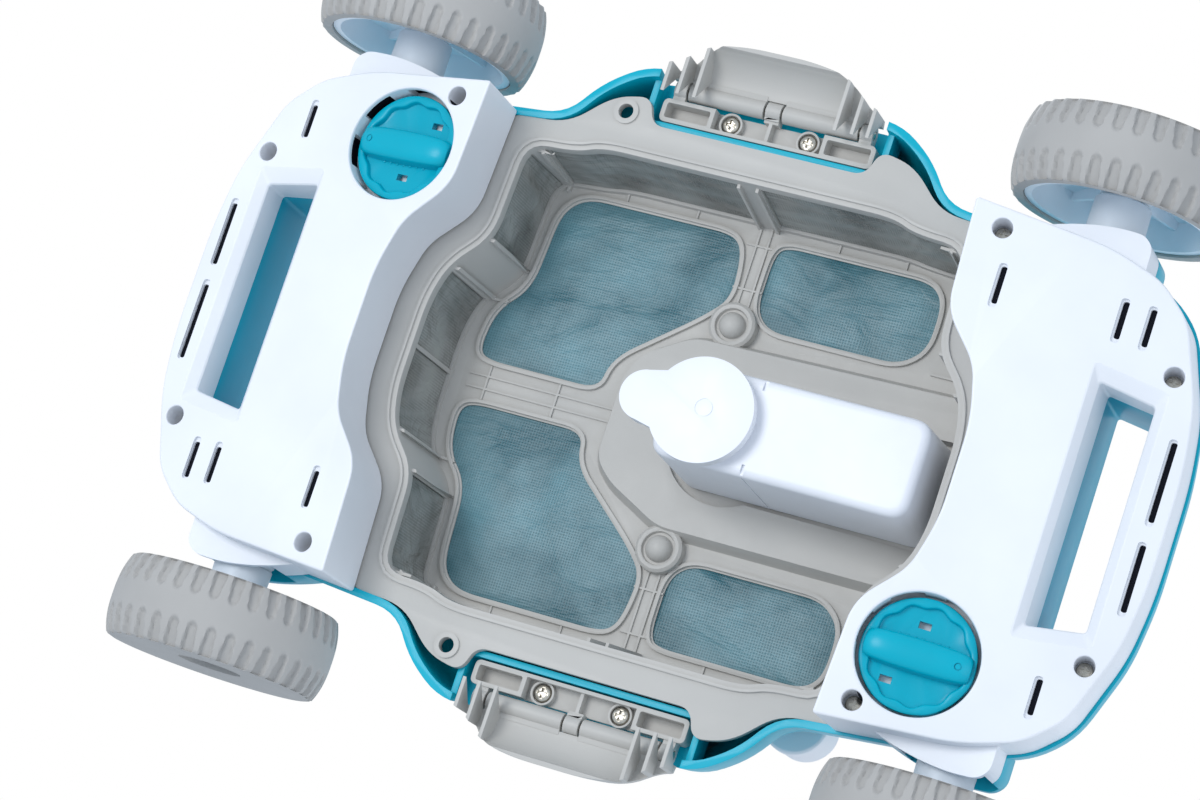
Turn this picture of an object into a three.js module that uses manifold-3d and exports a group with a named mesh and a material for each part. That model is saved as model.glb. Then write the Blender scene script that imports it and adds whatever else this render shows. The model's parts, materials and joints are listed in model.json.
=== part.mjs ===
// Robotic pool cleaner, bottom plate off and both latches open, standing on its four wheels.
// Millimetres, +Z up, origin on the floor under the middle, +X along the body.
import * as THREE from 'three';
import { mergeVertices } from 'three/addons/utils/BufferGeometryUtils.js';
import Module from 'manifold-3d';

const wasm = await Module();
wasm.setup();

// ---- driving dimensions ----
const GAP = 0.3; // clearance between pieces that touch
const WALL = 2.5; // moulded wall thickness
const WHEEL = { radius: 44, width: 32, x: 144, innerY: 111 };
const AXLE_Z = WHEEL.radius;
const FACE = { level: 21, atX: 150, slope: 0.18 }; // underside of the end covers rises outwards
const PARTING_Z = 46; // end covers below, upper shell above
const RIM_Z = 47; // underside of the basket flange
const BASKET_TOP_Z = 91; // underside of the basket floor panels
const BASKET_WALL = 2.4;
const SHELL_SPLIT_Z = 112; // upper shell below, top cover above
const PIVOT = { x: 144, y: 82, postRadius: 3, barrelRadius: 7 };
const SLEEVE = { rootRadius: 12, tipRadius: 11, endY: 118 };
const HOOD_Z = 28.5; // underside of the hoods that cover the axle arms
const HOOD_TOP_Z = 61.5;
const ARM_SPACE = { halfX: 17, innerY: 88, outerY: 110, z0: 31.5, z1: 57.5 }; // room for a turning arm
// Depths are measured into the cover's face.
const KNOB = { x: 127.9, y: 68.3, recessRadius: 22.7, recessDepth: 11, recessBack: 13, radius: 21.4, rimWidth: 3,
  rimTop: 4.6, floor: 7.2, back: 10, barTop: 0.2, barHalfY: 5.5, stemRadius: 4, stemEnd: 16 };
const HANDLE = { innerX: 157, outerX: 181, halfY: 47, outerHalfY: 43 };
const LATCH = { halfX: 44, hingeY: 124, hingeZ: 54, pinRadius: 1.6, barrelRadius: 3.6, screwX: 16, screwY: 115.4 };
const LATCH_POCKET = { halfX: 47, y: 109.2, top: 60.5, wall: 2.5 }; // room in the shell for a latch base
const PUMP = { x: 17, motorRadius: 16, impellerRadius: 22 };
const MOTOR_CAP = { radius: 20.5, noseX: -6, noseRadius: 9.8, neckHalfY: 7.5, thickness: 7.7 };
const VOLUTE = { bore: 25, radius: 27.4, eye: 12, roof: 108.4, top: 110 };
const HOUSING = { x0: -2, x1: 103, halfY: 20, z0: 38, z1: 85.2 };
const CELLS = { x0: 40, x1: 97, halfY: 16.5, z0: 42, z1: 74 };
const NOZZLE = { x: 69, y: 93.5, radius: 13.5, bore: 8.8, z0: 96, z1: 122 };
const BUTTON = { x: -40, radius: 9 };
const EAR_HOLE = { x: -55.5, y: 109, radius: 3 };

// Quarter outlines, from the +X side round to the +Y side.
const SHELL_QUARTER = [[199, 22], [196, 47], [185, 77], [172, 89], [150, 96], [101, 100.5], [79, 102.5],
  [68, 118], [52, 129], [20, 129]];
const COVER_OUTER_QUARTER = [[198, 22], [195, 46], [184, 76], [171, 88], [150, 95], [98.5, 99.5]];
const COVER_INNER_QUARTER = [[100.5, 56], [115.5, 39], [120.5, 19]];
const FLANGE_QUARTER = [[119, 18], [114, 37], [99, 54], [97, 96], [77, 99], [62, 114], [46.5, 116],
  [44, 106.3], [20, 106.3]];
const TUB_RIM_QUARTER = [[109, 19], [105, 34], [92, 48], [90.5, 88], [70, 89], [60, 93], [20, 93]];
const TUB_FLOOR_QUARTER = [[107, 19], [103, 33], [91, 45], [89.5, 85], [68, 86.5], [58, 88], [20, 88]];
const LARGE_WINDOW = [[-86, -75], [-77, -83.5], [-13, -83.5], [-7, -77], [-5, -57], [-14, -47], [-44, -22],
  [-46, -8], [-96, -8], [-101, -13], [-99, -30], [-88, -42]];
const SMALL_WINDOW = [[8, -83.5], [70, -83.5], [77, -76], [77, -56], [67, -47], [12, -47], [4, -55], [4, -78]];
const ISLAND = [[-36, -16], [-31, -26], [-13, -37], [125, -40], [125, 38], [-4, 38], [-28, 26], [-36, 18]];
const HOOD = [[163, 92], [163, 100], [159, 104], [148, 104.5], [136, 103], [124, 100], [113, 95], [113, 92]];
const LATCH_EDGE = [[43.5, 110], [43.5, 130.5], [40, 131.5], [36, 134], [31, 138.5], [25, 141.2], [12, 143]];
const SIDE_WINDOWS = [[-85, -49], [-32, -0.8], [0.8, 32], [49, 85]]; // ranges along Y
const LONG_WINDOWS = [[-83, -5], [5, 83]]; // ranges along X
const WINDOW_Z = [51.5, 88.5];

// Left end cover details; the right cover is the same piece turned half round.
const COVER_SCREWS = [[-110.8, -91], [-184.8, -55], [-185, 55], [-111, 90.5]];
const DRAIN_SLOTS = [[-171, -79, -63], [-171, 61, 78], [-160.8, 61, 78], [-115.5, 61, 78],
  [-191.5, -34, -6], [-191.5, 0, 33]];
const SLOT_WIDTH = 3.2;
const SCREW_RECESS = { radius: 3.8, depth: 13, wall: 1.7 };

const COLOURS = { white: 0xe9edf7, teal: 0x00a9c4, grey: 0xbab8b2, tyre: 0xaeada8, mesh: 0x6f9aa0,
  hub: 0xdfe8f6, sleeve: 0xc3cbd6, steel: 0xb9bcc0, dark: 0x33383c, battery: 0x4a6a8c, board: 0x1f6b45, rubber: 0x2b2d2f };

// ---- outlines and solids ----
function mirrored(quarter) {
  const back = [...quarter].reverse();
  return [...quarter, ...back.map(([x, y]) => [-x, y]), ...quarter.map(([x, y]) => [-x, -y]),
    ...back.map(([x, y]) => [x, -y])];
}

function rounded(points, radius, steps = 1) {
  const out = [];
  points.forEach(([x, y], i) => {
    const before = points[(i + points.length - 1) % points.length];
    const after = points[(i + 1) % points.length];
    const toward = (p) => {
      const length = Math.hypot(p[0] - x, p[1] - y);
      const reach = Math.min(radius, length * 0.45) / length;
      return [x + (p[0] - x) * reach, y + (p[1] - y) * reach];
    };
    const [a, b] = [toward(before), toward(after)];
    for (let k = 0; k <= steps; k += 1) {
      const t = k / steps;
      const [u, v, w] = [(1 - t) ** 2, 2 * t * (1 - t), t * t];
      out.push([u * a[0] + v * x + w * b[0], u * a[1] + v * y + w * b[1]]);
    }
  });
  return out;
}

function inset(points, distance) {
  return points.map(([x, y], i) => {
    const before = points[(i + points.length - 1) % points.length];
    const after = points[(i + 1) % points.length];
    const unit = (p, q) => {
      const length = Math.hypot(q[0] - p[0], q[1] - p[1]);
      return [(q[0] - p[0]) / length, (q[1] - p[1]) / length];
    };
    const [d1, d2] = [unit(before, [x, y]), unit([x, y], after)];
    const [n1, n2] = [[-d1[1], d1[0]], [-d2[1], d2[0]]];
    const scale = distance / Math.max(0.4, 1 + n1[0] * n2[0] + n1[1] * n2[1]);
    return [x + (n1[0] + n2[0]) * scale, y + (n1[1] + n2[1]) * scale];
  });
}

function toSolid(geometry) {
  const plain = geometry.clone();
  plain.deleteAttribute('normal');
  plain.deleteAttribute('uv');
  const merged = mergeVertices(plain, 1e-4);
  const triVerts = Uint32Array.from(merged.index.array);
  const vertProperties = Float32Array.from(merged.attributes.position.array);
  return new wasm.Manifold(new wasm.Mesh({ numProp: 3, vertProperties, triVerts }));
}

function toGeometry(solid) {
  const { vertProperties, triVerts } = solid.getMesh();
  const geometry = new THREE.BufferGeometry();
  geometry.setAttribute('position', new THREE.BufferAttribute(vertProperties.slice(), 3));
  geometry.setIndex(new THREE.BufferAttribute(triVerts.slice(), 1));
  geometry.computeVertexNormals();
  return geometry;
}

// Skin between stacked rings of the same point count; each ring is { points, z } or { points, zAt }.
function loft(rings) {
  const count = rings[0].points.length;
  const positions = [];
  rings.forEach(({ points, z, zAt }) => points.forEach(([x, y]) => positions.push(x, y, zAt ? zAt(x, y) : z)));
  const index = [];
  for (let r = 0; r < rings.length - 1; r += 1) {
    for (let i = 0; i < count; i += 1) {
      const [a, b] = [r * count + i, r * count + ((i + 1) % count)];
      index.push(a, b, b + count, a, b + count, a + count);
    }
  }
  const cap = (ring) => THREE.ShapeUtils.triangulateShape(ring.points.map(([x, y]) => new THREE.Vector2(x, y)), []);
  const top = (rings.length - 1) * count;
  cap(rings[0]).forEach(([a, b, c]) => index.push(a, c, b));
  cap(rings[rings.length - 1]).forEach(([a, b, c]) => index.push(top + a, top + b, top + c));
  const geometry = new THREE.BufferGeometry();
  geometry.setAttribute('position', new THREE.Float32BufferAttribute(positions, 3));
  geometry.setIndex(index);
  return toSolid(geometry);
}

const prism = (points, z0, z1) => loft([{ points, z: z0 }, { points, z: z1 }]);

function box(x0, x1, y0, y1, z0, z1) {
  return prism([[x0, y0], [x1, y0], [x1, y1], [x0, y1]], z0, z1);
}

function slab(x0, x1, y0, y1, z0, z1, radius = 3) {
  return prism(rounded([[x0, y0], [x1, y0], [x1, y1], [x0, y1]], radius), z0, z1);
}

// Round solid about +Z from a profile of [radius, height] that runs up the outside.
function turned(profile, segments = 16) {
  const points = profile.map(([r, h]) => new THREE.Vector2(r, h));
  const geometry = new THREE.LatheGeometry(points, segments);
  geometry.rotateX(Math.PI / 2);
  const solid = toSolid(geometry);
  return solid.volume() < 0 ? toSolid(geometry.scale(1, 1, -1)) : solid;
}

const disc = (radius, z0, z1, segments = 16) => turned([[0, z0], [radius, z0], [radius, z1], [0, z1]], segments);
const ring = (inner, outer, z0, z1, segments = 16) => disc(outer, z0, z1, segments)
  .subtract(disc(inner, z0 - 1, z1 + 1, segments));
const at = (solid, x, y, z = 0) => solid.translate([x, y, z]);
const alongY = (solid) => solid.rotate([-90, 0, 0]); // +Z becomes +Y
const alongX = (solid) => solid.rotate([0, 90, 0]); // +Z becomes +X
const joined = (...solids) => solids.reduce((a, b) => a.add(b));
const halfTurn = (solid) => solid.rotate([0, 0, 180]);

const faceZ = (x) => FACE.level + FACE.slope * (Math.abs(x) - FACE.atX);
const faceTilt = THREE.MathUtils.radToDeg(Math.atan(FACE.slope));

const cleaner = new THREE.Group();

function add(name, solid, colour, roughness = 0.5, metalness = 0) {
  const material = new THREE.MeshStandardMaterial({ color: colour, roughness, metalness });
  const mesh = new THREE.Mesh(toGeometry(solid), material);
  mesh.name = name;
  cleaner.add(mesh);
}

// ---- end covers ----
function coverOutline() {
  const across = (points) => points.map(([x, y]) => [x, -y]).reverse();
  const outer = [...across(COVER_OUTER_QUARTER), ...COVER_OUTER_QUARTER];
  const inner = [...COVER_INNER_QUARTER, ...across(COVER_INNER_QUARTER)];
  return rounded([...outer, ...inner].map(([x, y]) => [-x, -y]), 5);
}

function handlePrism(grow, z0, z1) {
  const { innerX, outerX, halfY, outerHalfY } = HANDLE;
  const corners = [[-outerX - grow, -outerHalfY - grow], [-innerX + grow, -halfY - grow],
    [-innerX + grow, halfY + grow], [-outerX - grow, outerHalfY + grow]];
  return prism(rounded(corners, 2), z0, z1);
}

// Solid of the cover's plan between its sloping face, moved up by lift, and the parting plane.
function coverBlock(points, lift, top = PARTING_Z) {
  return loft([{ points, zAt: (x) => faceZ(x) + lift }, { points, z: top }]);
}

// A turned solid whose +Z is the inward normal of the left cover's face at (x, y).
function onFace(solid, x, y) {
  return at(solid.rotate([0, faceTilt, 0]), x, y, faceZ(x));
}

function hood(end, side, z0, z1) {
  const points = HOOD.map(([x, y]) => [end * x, side * y]);
  return prism(end * side > 0 ? points : points.reverse(), z0, z1);
}

function armSpace(end, side, grow, z0, z1) {
  const near = ARM_SPACE.innerY - grow;
  const far = ARM_SPACE.outerY + grow;
  const middle = end * PIVOT.x;
  return box(middle - ARM_SPACE.halfX, middle + ARM_SPACE.halfX, side > 0 ? near : -far, side > 0 ? far : -near, z0, z1);
}

function endCover() {
  const outline = coverOutline();
  let cover = coverBlock(outline, 0).subtract(coverBlock(inset(outline, WALL), WALL, PARTING_Z + 5));
  const inside = coverBlock(inset(outline, 0.5), 0.5);
  const knobX = -KNOB.x;
  const knobY = -KNOB.y;
  cover = cover.add(handlePrism(WALL, 10, 60).intersect(inside));
  cover = cover.add(onFace(disc(KNOB.recessRadius + 2, 0, KNOB.recessBack, 24), knobX, knobY).intersect(inside));
  COVER_SCREWS.forEach(([x, y]) => {
    cover = cover.add(onFace(disc(SCREW_RECESS.radius + SCREW_RECESS.wall, 0, SCREW_RECESS.depth + 2, 10), x, y)
      .intersect(inside));
  });
  [-1, 1].forEach((side) => {
    cover = cover.add(hood(-1, side, HOOD_Z, PARTING_Z));
    cover = cover.subtract(armSpace(-1, side, 0, ARM_SPACE.z0, ARM_SPACE.z1));
    const postBase = side < 0 ? ARM_SPACE.z0 : 20;
    cover = cover.add(at(disc(PIVOT.postRadius, postBase, 57, 10), -PIVOT.x, side * PIVOT.y));
  });
  cover = cover.subtract(handlePrism(0, 0, 80));
  cover = cover.subtract(onFace(disc(KNOB.recessRadius, -8, KNOB.recessDepth, 24), knobX, knobY));
  cover = cover.subtract(onFace(disc(KNOB.stemRadius + GAP, 0, KNOB.stemEnd + 4, 10), knobX, knobY));
  COVER_SCREWS.forEach(([x, y]) => {
    cover = cover.subtract(onFace(disc(SCREW_RECESS.radius, -6, SCREW_RECESS.depth, 10), x, y));
  });
  DRAIN_SLOTS.forEach(([x, y0, y1]) => {
    const half = SLOT_WIDTH / 2;
    cover = cover.subtract(slab(x - half, x + half, y0, y1, 5, 36, half));
  });
  return cover;
}

const leftCover = endCover();
add('end_cover_left', leftCover, COLOURS.white, 0.38);
add('end_cover_right', halfTurn(leftCover), COLOURS.white, 0.38);

// ---- upper shell and top cover ----
const shellPlan = mirrored(SHELL_QUARTER);
const scaled = (points, sx, sy) => points.map(([x, y]) => [x * sx, y * sy]);
const DOME = [[46, 1, 1], [62, 0.99, 0.985], [75, 0.94, 0.975], [79, 0.72, 0.97], [96, 0.7, 0.95],
  [118, 0.61, 0.82], [138, 0.5, 0.68], [147, 0.42, 0.57], [150, 0.34, 0.46]];

function dome(plan, drop, zStart) {
  return loft(DOME.map(([z, sx, sy]) => ({ points: scaled(plan, sx, sy), z: z === 46 ? zStart : z - drop })));
}

const domeSolid = dome(shellPlan, 0, PARTING_Z + GAP);
const domeHollow = dome(inset(shellPlan, WALL), WALL, PARTING_Z - 10);
const hollowShell = domeSolid.subtract(domeHollow);

function upperShell() {
  let shell = hollowShell.intersect(box(-300, 300, -200, 200, 0, SHELL_SPLIT_Z));
  [1, -1].forEach((end) => {
    const turn = (solid) => (end > 0 ? solid : halfTurn(solid));
    shell = shell.add(turn(handlePrism(WALL, PARTING_Z + GAP, 90)).intersect(domeSolid));
    shell = shell.subtract(turn(handlePrism(0, 0, 120)));
  });
  [1, -1].forEach((side) => {
    const y = (a, b) => (side > 0 ? [a, b] : [-b, -a]);
    const { halfX: pocketX, y: pocketY, top, wall } = LATCH_POCKET;
    const pocket = box(-pocketX, pocketX, ...y(pocketY, 140), PARTING_Z - 5, top);
    const lining = box(-pocketX - wall, pocketX + wall, ...y(pocketY - wall, 140), PARTING_Z + 4.5, top + wall);
    shell = shell.add(lining.intersect(domeSolid)).subtract(pocket);
    [1, -1].forEach((end) => {
      shell = shell.add(hood(end, side, PARTING_Z + GAP, HOOD_TOP_Z));
      shell = shell.subtract(armSpace(end, side, 2, 40, ARM_SPACE.z1));
    });
    shell = shell.subtract(at(disc(NOZZLE.radius + GAP, NOZZLE.z0 - GAP, 150, 20), NOZZLE.x, side * NOZZLE.y));
  });
  return shell;
}

add('upper_shell', upperShell(), COLOURS.teal, 0.32);

function topCover() {
  let cover = hollowShell.intersect(box(-300, 300, -200, 200, SHELL_SPLIT_Z + GAP, 200));
  cover = cover.subtract(at(disc(BUTTON.radius + GAP, 100, 200, 16), BUTTON.x, 0));
  [1, -1].forEach((side) => {
    cover = cover.subtract(at(disc(NOZZLE.radius + GAP, NOZZLE.z0 - GAP, 180, 20), NOZZLE.x, side * NOZZLE.y));
  });
  const lip = at(ring(BUTTON.radius + GAP, BUTTON.radius + 2.3, 141, 149, 16), BUTTON.x, 0);
  return cover.add(lip);
}

add('top_cover', topCover(), COLOURS.white, 0.38);
add('power_button', at(turned([[0, 144], [BUTTON.radius - 0.2, 144], [BUTTON.radius - 0.2, 150.6],
  [BUTTON.radius - 1.4, 151.6], [0, 151.8]], 16), BUTTON.x, 0), COLOURS.teal, 0.35);

function nozzle() {
  const { radius, bore, z0, z1 } = NOZZLE;
  return turned([[bore, z0], [radius - 1, z0], [radius, z0 + 1], [radius, z0 + 5], [radius - 0.6, z0 + 5.6],
    [radius - 0.6, z1 - 6], [radius - 3, z1], [bore, z1], [bore, z0]], 20);
}

add('jet_nozzle_front', at(nozzle(), NOZZLE.x, -NOZZLE.y), COLOURS.white, 0.38);
add('jet_nozzle_back', at(nozzle(), NOZZLE.x, NOZZLE.y), COLOURS.white, 0.38);

// ---- filter basket ----
const flangePlan = mirrored(FLANGE_QUARTER);
const tubRim = mirrored(TUB_RIM_QUARTER);
const tubFloor = mirrored(TUB_FLOOR_QUARTER);
const largeWindow = rounded(LARGE_WINDOW, 6);
const smallWindow = rounded(SMALL_WINDOW, 6);
const flipY = (points) => points.map(([x, y]) => [x, -y]).reverse();
const FLOOR_WINDOWS = [largeWindow, smallWindow, flipY(largeWindow), flipY(smallWindow)];

function tub(grow, z0, z1) {
  return loft([{ points: inset(tubRim, -grow), z: z0 }, { points: inset(tubFloor, -grow), z: z1 }]);
}

function sideBox([y0, y1], x0, x1, grow) {
  return box(x0, x1, y0 - grow, y1 + grow, WINDOW_Z[0] - grow, WINDOW_Z[1] + grow);
}

function wallWindows(grow) {
  const windows = [];
  SIDE_WINDOWS.forEach((range) => windows.push(sideBox(range, -125, -80, grow)));
  [SIDE_WINDOWS[0], SIDE_WINDOWS[3]].forEach((range) => windows.push(sideBox(range, 80, 125, grow)));
  LONG_WINDOWS.forEach(([x0, x1]) => [[-110, -80], [80, 110]].forEach(([y0, y1]) => {
    windows.push(box(x0 - grow, x1 + grow, y0, y1, WINDOW_Z[0] - grow, WINDOW_Z[1] + grow));
  }));
  return windows;
}

function basketFrame() {
  const flange = prism(flangePlan, RIM_Z, RIM_Z + 3);
  const walls = tub(BASKET_WALL, RIM_Z + 1, BASKET_TOP_Z + BASKET_WALL);
  let frame = flange.add(walls).subtract(tub(0, RIM_Z - 1, BASKET_TOP_Z));
  const bead = prism(inset(tubRim, -4), RIM_Z - 1.6, RIM_Z + 1).subtract(prism(inset(tubRim, -2), 0, 90));
  frame = frame.add(bead);
  const inside = tub(0.8, RIM_Z - 1, BASKET_TOP_Z + 1);
  const pocket = slab(HOUSING.x0 - 1.5, 130, -HOUSING.halfY - 1.5, HOUSING.halfY + 1.5, 0, BASKET_TOP_Z - 4, 7)
    .add(at(disc(26, 0, BASKET_TOP_Z - 4, 20), PUMP.x, 0));
  const island = loft([{ points: ISLAND, z: BASKET_TOP_Z - 7 }, { points: inset(ISLAND, -3), z: BASKET_TOP_Z + 1 }]);
  frame = frame.add(island.subtract(pocket).intersect(inside));
  frame = frame.add(box(-101, -42, -3, 3, BASKET_TOP_Z - 3, BASKET_TOP_Z + 1));
  [1, -1].forEach((side) => {
    frame = frame.add(at(turned([[0, 84], [5, 85.5], [9, 88], [9, 92], [0, 92]], 12), -1, side * 46));
    frame = frame.subtract(at(disc(EAR_HOLE.radius, 0, 60, 10), EAR_HOLE.x, side * EAR_HOLE.y));
  });
  wallWindows(0).forEach((window) => { frame = frame.subtract(window); });
  FLOOR_WINDOWS.forEach((window) => {
    frame = frame.subtract(prism(inset(window, 1.2), BASKET_TOP_Z - 2, BASKET_TOP_Z + 9));
    frame = frame.subtract(prism(window, BASKET_TOP_Z + 0.8, BASKET_TOP_Z + 9));
  });
  return frame.subtract(at(disc(4, 60, 110, 10), PUMP.x, 0));
}

add('filter_basket', basketFrame(), COLOURS.grey, 0.5);
['floor_mesh_large_front', 'floor_mesh_small_front', 'floor_mesh_large_back', 'floor_mesh_small_back']
  .forEach((name, i) => {
    const panel = prism(inset(FLOOR_WINDOWS[i], GAP), BASKET_TOP_Z + 0.8 + GAP, BASKET_TOP_Z + 1.8);
    add(name, panel, COLOURS.mesh, 0.6);
  });
const wallSkin = tub(1.8, RIM_Z, BASKET_TOP_Z + 1).subtract(tub(0.8, RIM_Z - 1, BASKET_TOP_Z + 2));
const PANEL_NAMES = ['side_mesh_left_1', 'side_mesh_left_2', 'side_mesh_left_3', 'side_mesh_left_4',
  'side_mesh_right_1', 'side_mesh_right_2', 'long_mesh_front_1', 'long_mesh_back_1', 'long_mesh_front_2',
  'long_mesh_back_2'];
wallWindows(-GAP).forEach((window, i) => add(PANEL_NAMES[i], wallSkin.intersect(window), COLOURS.mesh, 0.6));

// ---- sealed drive housing in the basket ----
function driveHousing() {
  const { x0, x1, halfY, z0, z1 } = HOUSING;
  const body = slab(x0, x1, -halfY, halfY, z0, z1, 7);
  const hollow = slab(x0 + WALL, x1 - WALL, -halfY + WALL, halfY - WALL, z0 + WALL, z1 + 5, 5);
  return body.subtract(hollow).subtract(at(disc(4.5, 0, 60, 10), PUMP.x, 0));
}

function motorCap() {
  const { radius, noseX, noseRadius, neckHalfY, thickness } = MOTOR_CAP;
  const z1 = HOUSING.z0 - GAP;
  const z0 = z1 - thickness;
  return joined(at(disc(radius, z0, z1, 24), PUMP.x, 0), at(disc(noseRadius, z0, z1, 16), noseX, 0),
    box(noseX, PUMP.x, -neckHalfY, neckHalfY, z0, z1));
}

add('drive_housing', driveHousing(), COLOURS.white, 0.38);
add('motor_cap', motorCap(), COLOURS.white, 0.38);
add('pump_motor', at(turned([[0, 42], [13, 42], [PUMP.motorRadius, 44], [PUMP.motorRadius, 80], [12, 82],
  [2.8, 82], [2.8, 74], [0, 74]], 16), PUMP.x, 0), COLOURS.steel, 0.35, 0.9);
add('battery_pack', slab(CELLS.x0, CELLS.x1, -CELLS.halfY, CELLS.halfY, CELLS.z0, CELLS.z1, 3), COLOURS.battery, 0.5);
add('control_board', slab(CELLS.x0, CELLS.x1, -CELLS.halfY, CELLS.halfY, CELLS.z1 + 3, CELLS.z1 + 4.6, 1),
  COLOURS.board, 0.6);
add('housing_seal', slab(HOUSING.x0 + 0.6, HOUSING.x1 - 0.6, -19.4, 19.4, HOUSING.z1 + GAP,
  BASKET_TOP_Z - 4 - GAP, 6).subtract(slab(HOUSING.x0 + 2.2, HOUSING.x1 - 2.2, -17.8, 17.8, 80, 95, 5)),
COLOURS.rubber, 0.8);

// ---- pump above the basket ----
add('pump_shaft', at(disc(2.4, 74 + GAP, 104, 10), PUMP.x, 0), COLOURS.steel, 0.25, 1);

function impeller() {
  let body = disc(PUMP.impellerRadius, 97, 98.6, 24).add(disc(6, 98, 108, 16));
  for (let i = 0; i < 6; i += 1) {
    body = body.add(box(5, PUMP.impellerRadius - 0.6, -0.8, 0.8, 98, 107).rotate([0, 0, i * 60]));
  }
  return body.subtract(disc(2.4 + GAP, 90, 120, 10));
}

add('impeller', at(impeller(), PUMP.x, 0), COLOURS.dark, 0.5);

function pumpVolute() {
  const { bore, radius, eye, roof, top } = VOLUTE;
  const body = ring(bore, radius, BASKET_TOP_Z + BASKET_WALL + GAP, top, 24).add(ring(eye, radius, roof, top, 24));
  return body.subtract(box(0, 40, -8, 8, 96.5, 106)); // outlet
}

add('pump_volute', at(pumpVolute(), PUMP.x, 0), COLOURS.dark, 0.5);

// ---- wheels and steering arms ----
function tyre() {
  const { radius, width } = WHEEL;
  return turned([[36.8, 0], [41.6, 0], [43.4, width * 0.2], [radius, width / 2], [43.4, width * 0.8],
    [41.6, width], [12.5, width - 0.6], [12.5, width - 2.6], [36.8, width - 2.2], [36.8, 0]], 28);
}

function hub() {
  let body = ring(33.6, 36.5, 1, WHEEL.width - 2.9, 20).add(disc(35, 15, 18, 20)).add(disc(10.5, 9, 26, 12));
  for (let i = 0; i < 5; i += 1) {
    body = body.add(box(9, 34.5, -1, 1, 10, 24).rotate([0, 0, i * 72 + 30]));
  }
  return body.subtract(disc(4.4, -5, 40, 10)).subtract(disc(7, 22.5, 40, 10));
}

function arm() {
  const sleeve = alongY(turned([[0, 88], [SLEEVE.rootRadius, 88], [SLEEVE.tipRadius, SLEEVE.endY],
    [4, SLEEVE.endY], [4, 134], [0, 134]], 20)).translate([0, 0, AXLE_Z]);
  const neck = box(-8, 8, PIVOT.y, 92, 36, 52);
  const barrel = at(disc(PIVOT.barrelRadius + 2, 35, 53.5, 16), 0, PIVOT.y);
  return joined(sleeve, neck, barrel).subtract(at(disc(PIVOT.postRadius + GAP, 20, 70, 10), 0, PIVOT.y))
    .subtract(alongY(disc(1.5, 126, 140, 8)).translate([0, 0, AXLE_Z]));
}

const hubScrew = joined(disc(5, 134 + GAP, 136.4, 12), disc(1.2, 128, 134.8, 8));
const WHEELS = [['left_front', -1, -1], ['right_front', 1, -1], ['left_back', -1, 1], ['right_back', 1, 1]];
WHEELS.forEach(([name, end, side]) => {
  const place = (solid) => at(side > 0 ? solid : halfTurn(solid), end * WHEEL.x, 0);
  const round = (solid, y) => place(alongY(solid).translate([0, y, AXLE_Z]));
  add(`tyre_${name}`, round(tyre(), WHEEL.innerY), COLOURS.tyre, 0.75);
  add(`hub_${name}`, round(hub(), WHEEL.innerY), COLOURS.hub, 0.4);
  add(`axle_arm_${name}`, place(arm()), COLOURS.sleeve, 0.45);
  add(`hub_screw_${name}`, round(hubScrew, 0), COLOURS.steel, 0.3, 1);
});

// ---- steering knobs ----
function knob() {
  const { radius, rimWidth, rimTop, floor, back, barTop, barHalfY, stemRadius, stemEnd } = KNOB;
  const plate = disc(radius, rimTop, back, 24).subtract(disc(radius - rimWidth, 0, floor, 24));
  const bar = slab(-radius + 1, radius - 1, -barHalfY, barHalfY, barTop, floor + 1, 4);
  return joined(plate, bar, disc(stemRadius, floor, stemEnd, 10));
}

const leftKnob = onFace(knob(), -KNOB.x, -KNOB.y);
add('steering_knob_left', leftKnob, COLOURS.teal, 0.3);
add('steering_knob_right', halfTurn(leftKnob), COLOURS.teal, 0.3);

// ---- latches, modelled on the +Y side ----
const { halfX, hingeY, hingeZ, pinRadius, barrelRadius, screwX, screwY } = LATCH;
const rod = (radius, x0, x1) => alongX(disc(radius, x0, x1, 10)).translate([0, hingeY, hingeZ]);

function latchBase() {
  let base = slab(-halfX, halfX, 110, 119.4, 51.5, 60.2, 2.5);
  [[-41, -36], [36, 41]].forEach(([x0, x1]) => {
    base = base.add(rod(barrelRadius, x0, x1)).add(box(x0, x1, 118, hingeY, 52, 57.6));
  });
  base = base.subtract(box(-22.5, 22.5, 111.6, 120, 45, 57.6));
  base = base.add(box(-0.8, 0.8, 111, 119.4, 53, 58)).add(box(-3, 3, 118, hingeY, 52, 57.6));
  base = base.add(rod(barrelRadius, -3, 3));
  [1, -1].forEach((end) => {
    const screw = (radius, z0, z1, segments) => at(disc(radius, z0, z1, segments), end * screwX, screwY);
    base = base.add(screw(4.6, 54.6, 58.5, 12)).subtract(screw(1.6, 40, 70, 8)).subtract(screw(3.9, 40, 57, 12));
    base = base.subtract(box(Math.min(end * 24, end * 40), Math.max(end * 24, end * 40), 112.4, 117.2, 45, 58.6));
  });
  return base.subtract(rod(pinRadius + GAP, -50, 50));
}

// Sweeps a profile given outwards and upwards from the hinge along X.
function swept(profile, x0, x1) {
  const shape = new THREE.Shape(profile.map(([a, b]) => new THREE.Vector2(a, b)));
  const geometry = new THREE.ExtrudeGeometry(shape, { depth: x1 - x0, bevelEnabled: false, steps: 1 });
  const place = new THREE.Matrix4().set(0, 0, 1, x0, 1, 0, 0, hingeY, 0, 1, 0, hingeZ, 0, 0, 0, 1);
  return toSolid(geometry.applyMatrix4(place));
}

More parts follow.
